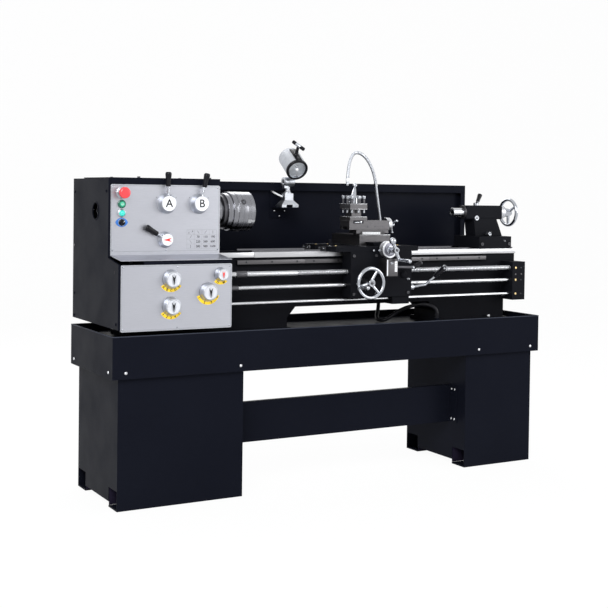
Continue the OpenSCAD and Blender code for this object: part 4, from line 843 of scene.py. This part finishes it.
# ------------------------------------------------------------ screw and rods
def make_screw():
    """The leadscrew with its real thread, and the feed rod's coupling."""
    a, b = lo("leadscrew"), hi("leadscrew")
    c = PIN["leadscrew_turn"]
    piece = Piece()
    piece.turned(at(a.x, c.y, c.z), X, [(0, 0), (11, 0), (11, -178 - a.x), (9.1, -176 - a.x),
        (9.1, b.x - 0.5 - a.x), (0, b.x - 0.5 - a.x)], "ground_steel", 40, 0.5)
    piece.turned(at(-458.5, c.y, c.z), X, rect(10.5, 0, 14, 48), "dark_steel", 40, 1.2)
    for x in (-449, -420):
        socket_screw(piece, at(x, c.y, c.z) - 13.6 * Y, -Y, 2.6, "dark_steel")
    pitch, n = 8.0, 24
    turns = int((b.x - 4 + 184) / pitch)
    rows = []
    for i in range(4 * turns + 1):
        step, r = divmod(i, 4)
        x0 = -182 + (step + (0, 0.36, 0.5, 0.86)[r]) * pitch
        radius = (11, 11, 9.2, 9.2)[r]
        rows.append([piece.bm.verts.new(at(x0 + pitch * k / n, c.y, c.z)
                                        + radius * wave(360 * k / n, Y, Z)) for k in range(n)])
    faces = []
    for i in range(4 * turns):
        for k in range(n - 1):
            faces.append(piece.bm.faces.new((rows[i][k], rows[i][k + 1], rows[i + 1][k + 1],
                rows[i + 1][k])))
        if i + 5 < len(rows):
            faces.append(piece.bm.faces.new((rows[i][n - 1], rows[i + 4][0], rows[i + 5][0],
                rows[i + 1][n - 1])))
    piece.paint(faces, "ground_steel")
    piece.done("threaded_screw", "leadscrew", "ground_steel", "leadscrew")

    ring = Piece()
    ring.turned(at(-500.5, c.y, PIN["feed_rod_turn"].z), X, rect(9, 0, 12.4, 52), "dark_steel", 40, 1.2)
    ring.done("feed_rod_coupling", "feed_rod", "dark_steel")


# --------------------------------------------------------------- the chuck
def make_chuck():
    """Turned rings round the chuck, its key sockets, the flange nuts and the steps of the jaws."""
    c = PIN["spindle_turn"]
    body = Piece()
    body.turned(at(-470.8, c.y, c.z), X, [(48, 0), (66.4, 0), (66.4, 15.6), (60, 15.8)], "dark_steel",
        96, 0.8)
    body.turned(at(-455.2, c.y, c.z), X, [(62, 0), (74.4, 0), (74.6, 20.6), (74.4, 22), (70, 22)],
        "turned_steel", 96, 1.2)
    body.turned(at(-433.8, c.y, c.z), X, [(72, 0), (78, 0), (80.4, 2.4), (80.5, 19.6), (79, 20.4)],
        "turned_steel", 96, 0.8)
    reach = lo("jaw_1").x - 1 + 411.2
    body.turned(at(-411.2, c.y, c.z), X, [(79, 0), (80.4, 1), (80.4, reach - 0.4), (79.6, reach)],
        "turned_steel", 96, 0.6)
    for a in (30, 150, 270):
        out = wave(a, Y, Z)
        p = at(-389.5, c.y, c.z) + 80.2 * out
        body.turned(p, out, [(7.2, 0.8), (7.6, 1.5), (12.2, 1.3), (13, -1.2)], "dark_steel", 36, 0.2)
        # a flat black disc for the socket's hollow: painted shade
        body.slab(circle(7.6, 32), p + 0.75 * out, X, out.cross(X), 0.2, "ink_and_shade_black")
        body.turned(p, out, [(3.2, 0.9), (4, 1.2), (4.8, 0.9)], "chrome", 4, 0)
    body.done("chuck_turned", "spindle", "ground_steel")
    nuts = Piece()
    for a in range(20, 380, 60):
        out = wave(a, Y, Z)
        nuts.turned(at(-497.5, c.y, c.z) + 46.5 * out, X, [(0, 0), (8, 0), (8.4, 2), (8.4, 9), (6, 11),
            (0, 11)], "chrome", 28, 1)
    nuts.done("spindle_nuts", "spindle", "chrome")
    for i, a in enumerate((210, 330, 90)):
        jaw = Piece()
        out, turn = wave(a, Y, Z), wave(a + 90, Y, Z)
        node = "jaw_%d" % (i + 1)
        face = hi(node).x
        for r0, r1, depth in ((22, 40, 1.2), (41, 58, 0.9), (59, 77, 0.6)):
            jaw.slab(rect(r0 + 1, -8.2, r1 - 1, 8.2), at(face, c.y, c.z), out, turn, depth,
                "ground_steel", 0.3)
        jaw.done(node + "_steps", node, "ground_steel")


# ------------------------------------------------------------------ the bed
def make_bed():
    """Ground ways, the rack's bars and the rod bracket's plugs."""
    way = Piece()
    top, front, end, gap = BED_TOP, WAY_FRONT, BED_END, GAP_X
    for y0, y1 in ((front, front + 50), (61.5, 111.5)):
        mid_y = (y0 + y1) / 2
        for s, t in ((y0, mid_y - 7), (mid_y + 7, y1)):
            # the tops take the darkened steel: painted dark reflection
            way.block(at(gap, s, top - 1), at(end + 0.3, t, top + 0.25), "way_top_painted_dark", 0.3)
            way.block(at(WAYS_LEFT, s, top - 1.4), at(gap - 1.2, t, top + 0.1), "way_top_painted_dark", 0.3)
        way.slab([(-6.3, 0), (6.3, 0), (0.4, 6.3), (-0.4, 6.3)], at(gap, mid_y, top), Y, Z,
            end + 0.2 - gap, "way_top_painted_dark")
    way.block(at(gap, front - 0.55, 931.4), at(end + 0.3, front + 2, top + 0.3), "bright_way", 0.5)
    way.block(at(WAYS_LEFT, front - 0.3, 932.6), at(gap - 1.2, front + 2, top - 0.3), "bright_way", 0.5)
    way.block(at(end - 2, front, 931.6), at(end + 0.5, front + 50, top + 0.2), "ground_steel", 0.3)
    way.done("bright_ways", "frame", "ground_steel")

    rack = Piece()
    y, z0, z1 = front - 8.3, top - 48, top - 32
    x = gap - 80
    length = 316
    for _ in range(4):
        rack.block(at(x + 0.4, y - 0.5, z0 - 0.3), at(x + length - 0.4, y + 4, z1 + 0.4), "slide_steel",
            0.6)
        for dx in (40, length / 2, length - 40):
            p = at(x + dx, y - 0.5, (z0 + z1) / 2 + 1)
            rack.turned(p, -Y, [(3.2, 0), (5, 0.3), (4.6, 0.4), (3.2, 0.1)], "dark_steel", 20, 0)
            # a flat black disc inside each hole's ring: painted shade in the hole
            rack.slab(circle(3.6, 16), p - 0.05 * Y, X, Z, 0.2, "ink_and_shade_black")
        x += length
    rack.done("rack_bars", "frame", "slide_steel")

    bits = Piece()
    for z in (868, 813, 750):
        bits.turned(at(953, BRACKET_FACE, z), -Y, [(0, 1.4), (3, 1.6), (5, 1), (5.4, 0)], "brass", 24, 0.3)
        bits.turned(at(984, BRACKET_FACE, z), -Y, [(0, 0.8), (2.2, 0.8), (2.6, 0)], "dark_steel", 16, 0.2)
    for x in (953, 986):
        bits.turned(at(x, BRACKET_FACE, 839), -Y, [(0, 1), (3.2, 1), (3.8, 0)], "slide_steel", 20, 0.3)
    hexagon(bits, at(850, -84, 642), Z, 17, 11, "ground_steel")
    for z in (905, 925):
        socket_screw(bits, at(1009.6, -50, z), X, 5, "dark_steel")
    bits.done("bracket_plugs", "frame", "ground_steel")


# ---------------------------------------------------------- tray and covers
def make_tray():
    """Screws of the tray, pale bars along its rim as a painted edge highlight, seams of the splash guard
    and screws of the end cover.
    """
    piece = Piece()
    for x in (-962.6, -487.4, 678.8, 968.2):
        for side in (-1, 1):
            dome(piece, at(x, 240 * side, 520), side * Y, 6, "satin_chrome")
    for y in (200, -198):
        for side in (-1, 1):
            dome(piece, at(1015 * side, y, 521), side * X, 6, "satin_chrome")
    ex, ey, ez = 1014.6, 239.6, 655.6
    for a, b in (((-ex, -ey), (ex, -ey)), ((-ex, ey), (ex, ey)), ((-ex, -ey), (-ex, ey)),
                 ((ex, -ey), (ex, ey))):
        # pale bars along the tray's rim: painted edge highlight
        piece.bar(at(*a, ez), at(*b, ez), 1.9, 1.9, "edge_highlight_paint", 12, 0.4)
    piece.done("tray_edges", "frame", "black_paint")

    guard = Piece()
    y, left, right = 233.2, -522, 947
    guard.block(at(209, 256.7, 712), at(211, 257.4, 1206), "black_paint", 0.2)
    for z, r in ((1241.2, 1.7), (1207.6, 1.5)):
        guard.bar(at(left, y, z), at(right, y, z), r, r, "black_paint", 12, 0.5)
    guard.bar(at(946.4, y, 706), at(946.4, y, 1240), 1.6, 1.6, "black_paint", 12, 0.5)
    guard.done("guard_seams", "frame", "black_paint")

    cover = Piece()
    x, c = lo("end_cover").x, PIN["spindle_turn"]
    for y, z in ((268, 974), (268, 1190), (268, 780), (-100, 1195), (-214, 700), (268, 690)):
        dome(cover, at(x, y, z), -X, 5.5, "slide_steel" if z == 974 else "black_paint")
    cover.turned(at(x, -196, 893), -X, [(0, 0.1), (4.4, 0.1), (5.4, 0.7), (6, 0)], "ink_and_shade_black", 24, 0.2)
    cover.turned(at(x, c.y, c.z), -X, [(33, 0), (37.5, 0), (37.5, 1), (36, 1.8), (33, 1.8)],
        "black_paint", 56, 0.4)
    cover.done("cover_screws", "end_cover", "black_paint")


def make_stand():
    """Liners of the anchor pockets, the stretcher's screws and a gusset."""
    liner = Piece()
    wide, high, plate, sheet = 90, 75, 6, 2.5
    for node in ("left_cabinet", "right_cabinet"):
        a, b = lo(node), hi(node)
        for x, s in ((a.x, 1), (b.x, -1)):
            for y, t in ((a.y, 1), (b.y, -1)):
                near, mid, far = sheet, wide + 1, wide + 3
                for p, q in (((far, near, plate), (mid, far, high + 2)),
                             ((near, mid, plate), (far, far, high + 2)),
                             ((near, near, high + 0.5), (far, far, high + 2.5))):
                    liner.block(at(x + s * p[0], y + t * p[1], p[2]), at(x + s * q[0], y + t * q[1],
                        q[2]), "pocket_paint", 0.4)
    liner.done("pocket_liners", "frame", "black_paint")

    bits = Piece()
    p, q = lo("stretcher_panel"), hi("stretcher_panel")
    for x, s in ((p.x + 3, 1), (q.x - 3, -1)):
        for z in (q.z - 16, p.z + 16):
            for dy in (18, 40):
                dome(bits, at(x, p.y + dy, z), s * X, 5.5, "satin_chrome")
    x = hi("left_cabinet").x
    for y in (-222, 219):
        bits.slab([(0, 0), (16, 0), (0, -42)], at(x - 0.2, y + 3, lo("chip_tray").z + 40), X, Z, 3,
            "black_paint")
    bits.done("stand_fittings", "frame", "black_paint")


# ------------------------------------------------------- apron and saddle
def ticks(piece, c, axis, u, v, r, length, count):
    """Engraved lines round a dial's rim, every fifth one long."""
    for k in range(count):
        out = wave(360 * k / count, u, v)
        reach = length if k % 5 == 0 else length * 0.55
        piece.slab(rect(0, -0.28, reach, 0.28), c + r * out, axis, out.cross(axis), INK, "ink_and_shade_black")


def make_apron():
    """The thread dial's housing, screws and plugs of the apron, wipers and plugs of the saddle."""
    piece = Piece()
    x0, x1, z0, z1, y = 201.5, 256.5, 852, 923, -220
    piece.block(at(x0 - 0.5, y - 0.7, z0 - 0.5), at(x1 + 0.2, y + 1, z1 + 0.5), "slide_steel", 0.7)
    piece.block(at(x0 - 0.7, y, z0 - 0.5), at(x0 + 1, -158.2, z1 + 0.5), "slide_steel", 0.6)
    piece.block(at(x0 - 0.5, y, z1 - 1), at(x1 + 0.2, -158.2, z1 + 0.7), "slide_steel", 0.6)
    piece.slab(rect(x0 + 0.5, z0 + 2, x0 + 6, z1 - 2), at(0, y - 0.7, 0), X, Z, 0.4, "white_face", 0.1)
    piece.slab(rect(x1 - 15, z0 + 18, x1 - 3, z1 - 9), at(0, y - 0.7, 0), X, Z, 0.5, "white_face", 0.1)
    for k in range(4):
        piece.slab([(x1 - 13, z0 + 24 + 9 * k), (x1 - 5, z0 + 24 + 9 * k), (x1 - 9, z0 + 29 + 9 * k)],
            at(0, y - 1.2, 0), X, Z, 0.1, "ink_grey")
    piece.turned(at(x0 + 24, y - 0.6, z1 - 16), -Y, [(0, 0), (6.5, 0), (6.5, 2), (3.4, 3.4), (3.2, 8),
        (1.2, 9), (0, 9)], "chrome", 24, 0.7)
    for dx, dz in ((14, 12), (32, 12)):
        piece.turned(at(x0 + dx, y - 0.6, z0 + dz), -Y, [(0, 0.3), (3, 0.3), (4.2, 0.9), (4.4, 0)],
            "dark_steel", 20, 0.2)
    dome(piece, at(328, APRON_FACE, 853.7), -Y, 17, "black_casting")
    piece.turned(at(352, APRON_FACE, 833), -Y, [(0, 0), (5, 0), (5, 3), (3.4, 4), (3.2, 10), (1, 11.5),
        (0, 11.5)], "light_alloy", 20, 0.7)
    for x, z in ((76, 936), (187, 936), (76, 775), (352, 775), (186, 775), (286, 936)):
        socket_screw(piece, at(x, APRON_FACE, z), -Y, 6, "dark_steel")
    for x in (168, 196):
        piece.turned(at(x, -164, 958), -Y, [(0, 0), (4.6, 0), (4.6, 6), (3.6, 7.4), (0, 7.4)], "chrome",
            20, 0.6)
    piece.done("apron_fittings", "carriage", "slide_steel")

    saddle = Piece()
    top = SADDLE_TOP
    p = at(1.5, -85.5, top)
    saddle.turned(p, Z, [(0, 0), (8, 0), (8, 1.4), (5.5, 2), (5.5, 5), (0, 5)], "ground_steel", 28, 0.6)
    hexagon(saddle, p + at(0, 0, 4), Z, 11, 16, "ground_steel")
    x0, x1 = lo("saddle").x, hi("saddle").x
    for x, s in ((x0, -1), (x1, 1)):
        for y in (-50, 86.5):
            saddle.block(at(x - 0.2 if s > 0 else x - 6, y - 31, 953.8),
                at(x + 6 if s > 0 else x + 0.2, y + 31, top - 3), "dark_steel", 1)
            for dy in (-18, 18):
                socket_screw(saddle, at(x + 6 * s, y + dy, 965), s * X, 3.4, "chrome")
    saddle.block(at(x0 + 25, 134.9, top - 1.2), at(147, 135.9, top + 0.3), "ground_steel", 0.3)
    for x, y in ((40, 100), (100, 100), (360, -60), (40, -70)):
        saddle.turned(at(x, y, top), Z, [(0, 1.5), (3, 1.8), (5.4, 1), (5.8, 0)], "brass", 24, 0.3)
    saddle.block(at(145.6, -130, top - 0.2), at(151.5, 120, top + 0.6), "ground_steel", 0.3)
    saddle.block(at(320, -130, top - 0.2), at(331, 120, top + 0.6), "ground_steel", 0.3)
    saddle.done("saddle_fittings", "carriage", "black_casting")


def make_wheels():
    """Hubs and graduated dials of the wheels and cranks."""
    wheel = Piece()
    c = PIN["apron_wheel_turn"]
    wheel.turned(at(c.x, -215.6, c.z), -Y, [(15.4, -3), (15.6, 0), (14.4, 1.4), (10.5, 1.4), (9.8, 0.2),
        (0, 0.2)], "chrome", 40, 0.5)
    hexagon(wheel, at(c.x, -215.4, c.z), -Y, 12, 2.6, "dark_steel")
    out = wave(193, X, Z)
    wheel.turned(at(c.x, -216, c.z) + 62 * out, -Y, [(4, -4), (9.4, -4), (9.4, 3), (7.2, 5), (4, 5)],
        "chrome", 28, 0.8)
    wheel.done("apron_wheel_hub", "apron_handwheel", "chrome")

    dial = Piece()
    c = at(PIN["cross_crank_turn"].x, -164.3, PIN["cross_crank_turn"].z)
    dial.turned(c - 30 * Y, -Y, [(28.5, -0.4), (28.5, 0.5), (12.4, 0.5)], "dial_steel", 64, 0.2)
    dial.turned(c - 30 * Y, -Y, [(35.4, -29.5), (36.3, -29), (36.3, -16), (35.4, -15.4), (35.4, -14),
        (36.4, -13.4), (36.4, -0.4), (35, 0.9), (29.5, 0.9), (28.6, 0.4)], "satin_chrome", 72, 0.4)
    ticks(dial, c - 17.5 * Y, -Y, X, Z, 36.35, 9, 100)
    dial.turned(c - 30 * Y, -Y, [(12.2, 0), (17, 0), (17, 3), (12.2, 4)], "chrome", 36, 0.5)
    hexagon(dial, c - 83.6 * Y, -Y, 11, 2, "dark_steel")
    dial.done("cross_dial", "cross_crank", "light_alloy")

    dial = Piece()
    c = PIN["top_crank_turn"]
    c = at(317.8, c.y, c.z)
    ticks(dial, c + 8.6 * X, X, Y, Z, 29.45, 5.4, 75)
    dial.turned(c, X, [(16, 0.2), (29.3, 0.2), (29.4, 6.6), (27.5, 7), (27.5, 8), (29.4, 8.4),
        (29.5, 15), (28, 15.4), (28, 16.4), (29.3, 16.8), (29.3, 21.4), (28, 22.6), (13, 22.8)],
        "satin_chrome", 64, 0.4)
    for k in (35, 155, 275):
        out = wave(k, Y, Z)
        for r in (9, 12, 15):
            dial.turned(c + (34 + 0.3 * r / 3) * X + r * out, out, [(5.4, 0), (6.1, 0.8), (5.4, 1.6)],
                "chrome", 20, 0.2)
    dial.done("top_dial", "top_crank", "light_alloy")

    wheel = Piece()
    c = PIN["tailstock_wheel_turn"]
    ticks(wheel, at(TAIL_DIAL_X + 2, c.y, c.z), X, Y, Z, 29.3, 9, 80)
    wheel.turned(at(TAIL_DIAL_X, c.y, c.z), X, [(20, 0.2), (29.3, 0.2), (29.4, 13), (28, 13.5),
        (28, 14.6), (29.4, 15), (29.4, 25), (28, 26.3), (24, 26.4)], "satin_chrome", 64, 0.4)
    wheel.turned(at(TAIL_DIAL_X + 72.6, c.y, c.z), X, [(16.3, -4), (16.3, 0), (14, 1), (8, 1), (7.5, 0),
        (0, 0)], "chrome", 36, 0.5)
    wheel.done("tail_wheel_dial", "tailstock_handwheel", "chrome")


def make_slides():
    """Fittings of the top slide, swivel, cross slide, tool post and its clamp."""
    top = Piece()
    y = lo("top_slide").y
    top.block(at(132, y - 0.6, 1069.5), at(184, y + 1, 1082.2), "ink_and_shade_black", 0.6)
    top.bar(at(136, y - 1.4, 1074), at(160, y - 1.4, 1074), 3.4, 3.4, "chrome", 16, 0.6)
    top.turned(at(170, y - 0.4, 1075), -Y, rect(0, 0, 5, 2.2), "chrome", 24, 0.6)
    for x in (205, 245, 285):
        top.turned(at(x, y + 0.1, 1056), -Y, [(0, 0.8), (2, 0.8), (3.6, 1.1), (4, 0)], "dark_steel", 20,
            0.2)
    top.block(at(318.2 - 0.6, y + 4, 1044), at(318.2 + 0.2, 12, 1080), "ground_steel", 0.2)
    top.done("top_slide_fittings", "top_slide", "slide_steel")

    swivel = Piece()
    c = PIN["swivel_turn"]
    swivel.turned(at(c.x, c.y, 1021.4), Z, [(68, 0), (68.4, 0.4), (68.4, 12.4), (67.6, 13), (60, 13)],
        "slide_steel", 96, 0.4)
    for k in range(14):
        a = -146 + 5 * k
        swivel.slab(sector(68.3, 68.9, a, a + 5, 1), at(c.x, c.y, 1022.4), X, Y, 10.8, "white_face")
    for k in range(15):
        a = -145 + 5 * k
        long = 8 if k % 2 == 0 else 5
        swivel.slab(sector(68.8, 69.05, a - 0.3, a + 0.3, 1), at(c.x, c.y, 1022.8), X, Y, long,
            "ink_and_shade_black")
    swivel.done("swivel_scale", "swivel", "slide_steel")

    cross = Piece()
    y = lo("cross_slide").y
    for x in (172, 299):
        cross.turned(at(x, y, 1008), -Y, [(0, 0.6), (3, 0.6), (4.6, 1), (5, 0)], "dark_steel", 20, 0.2)
    for k in range(5):
        cross.turned(at(313.5, -52 + 42 * k, 984), X, [(0, 0.5), (2.4, 0.5), (3.6, 0.9), (3.9, 0)],
            "dark_steel", 20, 0.2)
    cross.block(at(157, y - 0.5, 1019), at(314, y + 4, 1021.3), "ground_steel", 0.4)
    cross.done("cross_slide_fittings", "cross_slide", "slide_steel")

    post = Piece()
    c = PIN["tool_post_turn"]
    for z, s in ((POST_Z + 48, 1), (1154, -1), (POST_Z + 16, -1)):
        for a in range(4):
            out, side = wave(90 * a, X, Y), wave(90 * a + 90, X, Y)
            corners = [at(c.x, c.y, z) + out * 43.2 + side * t * 42.6 + Z * (s * h) - out * g
                       for t, h, g in ((-1, -0.2, 1.0), (1, 1.4, 0))]
            post.block(*corners, "ground_steel", 0.25)
    for s, t in ((-30, -34), (4, -34)):
        for a in range(4):
            q = at(c.x, c.y, 0) + wave(90 * a, X, Y) * s + wave(90 * a + 90, X, Y) * t
            post.slab(rect(-3.2, -3.2, 3.2, 3.2), q + 1187.6 * Z, X, Y, 1.0, "dark_steel", 0.3)
            post.turned(q + 1174.4 * Z, Z, [(5, 0), (6.8, 0.8), (6.9, 12.6), (5.8, 14), (3, 14)],
                "chrome", 20, 0.4)
            post.turned(q + 1113.5 * Z, Z, [(0, 0), (4, 0), (5.3, 1.6), (5.3, 12)], "chrome", 20, 0.4)
    post.done("tool_post_edges", "tool_post", "slide_steel")

    clamp = Piece()
    c = PIN["tool_post_clamp_turn"]
    c = at(c.x, c.y, 1154.3)
    clamp.turned(c, Z, [(20, 2), (20.8, 3), (20.8, 8), (20, 9)], "chrome", 48, 0.4)
    clamp.turned(c + 24 * Z, Z, [(17, 0), (18, 1.5), (17, 4), (15.8, 5)], "chrome", 40, 0.5)
    ball = at(182.5, 12, 1233.3)
    d = (ball - (c + 30 * Z)).normalized()
    clamp.turned(c + 30 * Z - 4 * d, d, [(0, 0), (11, 0), (11.5, 6), (9.4, 26), (7, 44), (6.6, 50),
        (0, 50)], "chrome", 32, 2)
    clamp.done("clamp_rings", "tool_post_clamp", "chrome")


# --------------------------------------------------------------- tailstock
def make_tailstock():
    """Clamping screws and setting marks of the tailstock, and the quill's scale."""
    piece = Piece()
    c = PIN["tailstock_wheel_turn"]
    y = c.y - 32
    piece.turned(at(827.5, y - 1.5, 1092), -Y, [(0, -2), (12, -2), (12, 3), (10.6, 5), (8, 5.4),
        (7.4, 4.2), (0, 4.2)], "light_alloy", 36, 0.8)
    hexagon(piece, at(827.5, y - 5.4, 1092), -Y, 9, 1.2, "dark_steel")
    piece.turned(at(887, -40, 1019.5), -Y, [(0, -28), (9, -28), (9, 0), (8, 2), (6, 2.3), (5.4, 1),
        (0, 1)], "light_alloy", 32, 0.7)
    hexagon(piece, at(887, -40.6, 1019.5), -Y, 7, 1.0, "dark_steel")
    x = lo("tailstock_body").x
    piece.turned(at(x, c.y, c.z), -X, [(21, 0), (21.6, 1), (29, 1.2), (31, 0.6), (31.4, 0)],
        "slide_steel", 64, 0.3)
    for k in range(12):
        piece.slab(rect(-0.25, 0, 0.25, 6 + 3 * (k % 3 == 0)), at(940 + k, -77.55, 985), X, Z, 0.1,
            "ink_grey")
    for px in (812, 968):
        socket_screw(piece, at(px, -77.6, 975), -Y, 7, "dark_steel")
    piece.done("tailstock_fittings", "tailstock", "black_casting")
    nose = Piece()
    x = lo("quill").x
    nose.turned(at(x, c.y, c.z), -X, [(19.9, -1.6), (20.02, -0.6), (20.02, -0.2), (19.4, 0.5),
        (12, 0.5), (10, -0.2)], "ground_steel", 56, 0.3)
    for k in range(16):
        nose.slab(sector(19.9, 20.02, 180 - 16 - 8 * (k % 2), 184, 4), at(x + 10 + 5 * k, c.y, c.z), Y,
            Z, 0.5, "ink_and_shade_black")
    nose.done("quill_marks", "quill", "ground_steel")


def make_grips():
    """Black grips of the spindle, half-nut and quill levers."""
    p = at(370.8, -146, 796)
    a, b = p + at(100, -52, 52), p + at(116, -98, 92)
    d = (b - a).normalized()
    grip = Piece()
    grip.turned(a - 8 * d, d, [(0, 0), (7.4, 0), (9.4, 3), (9.8, 16), (11.2, 46), (11.6, 62), (9, 70),
        (4, (b - a).length + 10), (0, (b - a).length + 10)], "black_plastic", 28, 2)
    grip.done("spindle_lever_grip", "spindle_lever", "black_plastic")
    hub = at(240.5, -196, 889)
    a = hub + at(112, 0, -4)
    b = a + at(42, 0, 20)
    d = (b - a).normalized()
    grip = Piece()
    grip.turned(a + 2 * d, d, [(0, 0), (7.6, 0), (8.4, 3), (9.2, 24), (10, 38), (8, 44), (0, 46)],
        "black_plastic", 24, 1.6)
    grip.turned(a - 6 * d, d, [(0, 0), (6.6, 0), (7.2, 2), (7.2, 8), (0, 8)], "chrome", 24, 0.6)
    grip.done("halfnut_grip", "halfnut_lever", "black_plastic")
    foot = at(849.5, 18, 1150.3)
    a = foot + at(12, 4, 18)
    b = a + at(18, 6, 32)
    d = (b - a).normalized()
    grip = Piece()
    grip.turned(a - 2 * d, d, [(0, 0), (7, 0), (8.6, 3), (9, 14), (10.8, 34), (10.6, 38), (6, 42),
        (0, 42)], "black_plastic", 28, 1.6)
    grip.bar(foot + at(4, 1.4, 8), a + d, 5.4, 5.4, "chrome", 20, 0.5)
    grip.turned(foot, Z, [(12.3, -0.2), (12.3, 9), (10, 11), (0, 12.2)], "chrome", 32, 1)
    grip.done("quill_lever_grip", "quill_lever", "black_plastic")


# ---------------------------------------------------------------- the rear
def make_rear():
    """The motor's fan cover, the splash guard's back and the lid's screws."""
    c = PIN["motor_pulley_turn"]
    end = at(hi("motor").x, c.y, c.z)
    motor = Piece()
    motor.turned(end, X, [(0, 0.2), (60, 0.2), (66, -1), (68, -6), (68, -34)], "motor_grey", 64, 2)
    for k in range(5):
        r = 14 + 10 * k
        motor.turned(end, X, [(r, 0.4), (r + 1, 1.4), (r + 4.6, 1.4), (r + 5.6, 0.4)], "motor_grey", 48,
            0.2)
        # flat black rings in the valleys between the ribs: painted shade
        motor.turned(end, X, [(r + 6, 0.5), (r + 9, 0.5)], "ink_and_shade_black", 48, 0)
    motor.done("fan_cover", "frame", "motor_grey")
    back = Piece()
    y = hi("splash_guard").y
    for x in (-515, 200, 940):
        back.block(at(x - 12, y - 0.5, 712), at(x + 12, y + 1.4, 1236), "black_paint", 0.6)
        for z in (735, 860, 985, 1110, 1215):
            dome(back, at(x, y + 1.2, z), Y, 5, "slide_steel")
    for z0, z1 in ((1226, 1242), (702, 714)):
        back.block(at(-527, y - 0.5, z0), at(952, y + 1.2, z1), "black_paint", 0.6)
    back.done("guard_back", "frame", "black_paint")
    lid = Piece()
    top = hi("top_cover").z
    for x in (-860, -560):
        for y in (-90, 210):
            socket_screw(lid, at(x, y, top), Z, 6, "dark_steel")
    lid.done("lid_screws", "frame", "black_paint")


# ------------------------------------------------------------ floor, lights
def show_white(tree, output, shader, plain, share):
    """Camera, mirror and glass rays see mostly plain white, and the shadow stays."""
    def math_node(kind, a, b):
        node = tree.nodes.new("ShaderNodeMath")
        node.operation = kind
        tree.links.new(a, node.inputs[0])
        if isinstance(b, float):
            node.inputs[1].default_value = b
        else:
            tree.links.new(b, node.inputs[1])
        return node.outputs[0]

    ray = tree.nodes.new("ShaderNodeLightPath").outputs
    seen = math_node("MAXIMUM", ray["Is Camera Ray"], ray["Is Glossy Ray"])
    seen = math_node("MAXIMUM", seen, ray["Is Transmission Ray"])
    part = math_node("MULTIPLY", seen, share)
    white = tree.nodes.new(plain)
    white.inputs["Color"].default_value = (1, 1, 1, 1)
    white.inputs["Strength"].default_value = 1
    blend = tree.nodes.new("ShaderNodeMixShader")
    for k, source in enumerate((part, shader, white.outputs[0])):
        tree.links.new(source, blend.inputs[k])
    tree.links.new(blend.outputs[0], output.inputs["Surface"])


def make_stage():
    """A pale floor that curves up into a backdrop. Its sizes are in metres."""
    size, back, high, bend, steps = 14, 9, 8.0, 2, 16
    profile = [(-size, 0.0)]
    profile += [(back - bend + bend * math.sin(a), bend - bend * math.cos(a))
                for a in [math.pi / 2 * k / steps for k in range(steps + 1)]]
    profile.append((back, high))
    verts = [(x, y, z) for x in (-size, size) for y, z in profile]
    n = len(profile)
    mesh = bpy.data.meshes.new("floor")
    mesh.from_pydata(verts, [], [(i, i + 1, n + i + 1, n + i) for i in range(n - 1)])
    mesh.shade_smooth()
    floor = bpy.data.objects.new("floor", mesh)
    scene.collection.objects.link(floor)
    floor.location.z = cad_bounds[0].z - 0.0005
    net = Net("floor")
    net.tint(net.noise(1.5, 2), (0.93, 0.93, 0.93), (0.95, 0.95, 0.95))
    net.bsdf.inputs["Roughness"].default_value = 0.8
    show_white(net.tree, net.tree.nodes["Material Output"], net.bsdf.outputs[0], "ShaderNodeEmission",
        0.95)
    mesh.materials.append(net.mat)


def make_lights():
    """A pale world and three soft lamps. Places and sizes are in metres, powers in watts."""
    world = bpy.data.worlds.new("studio")
    scene.world = world
    world.use_nodes = True
    tree = world.node_tree
    sky = tree.nodes["Background"]
    sky.inputs["Color"].default_value = (0.95, 0.97, 1, 1)
    sky.inputs["Strength"].default_value = 0.7
    show_white(tree, tree.nodes["World Output"], sky.outputs[0], "ShaderNodeBackground", 1.0)
    target = at(0, 0, 0.8)
    for name, place, size, power in (("key", (-3.2, -3.6, 3.6), 2.6, 190),
                                     ("fill", (3.4, -3.4, 2.2), 2.6, 90),
                                     ("rear", (0.5, 3.2, 3.4), 3.0, 90)):
        data = bpy.data.lights.new(name, "AREA")
        data.size = size
        data.energy = power
        lamp = bpy.data.objects.new(name, data)
        scene.collection.objects.link(lamp)
        lamp.location = place
        lamp.rotation_euler = (target - Vector(place)).to_track_quat("-Z", "Y").to_euler()


for make in (make_knobs, make_levers, make_buttons, make_panel_marks, make_stand, make_lamp,
             make_gooseneck, make_screw, make_chuck, make_bed, make_tray, make_grips, make_rear,
             make_apron, make_wheels, make_slides, make_tailstock, make_stage, make_lights):
    make()
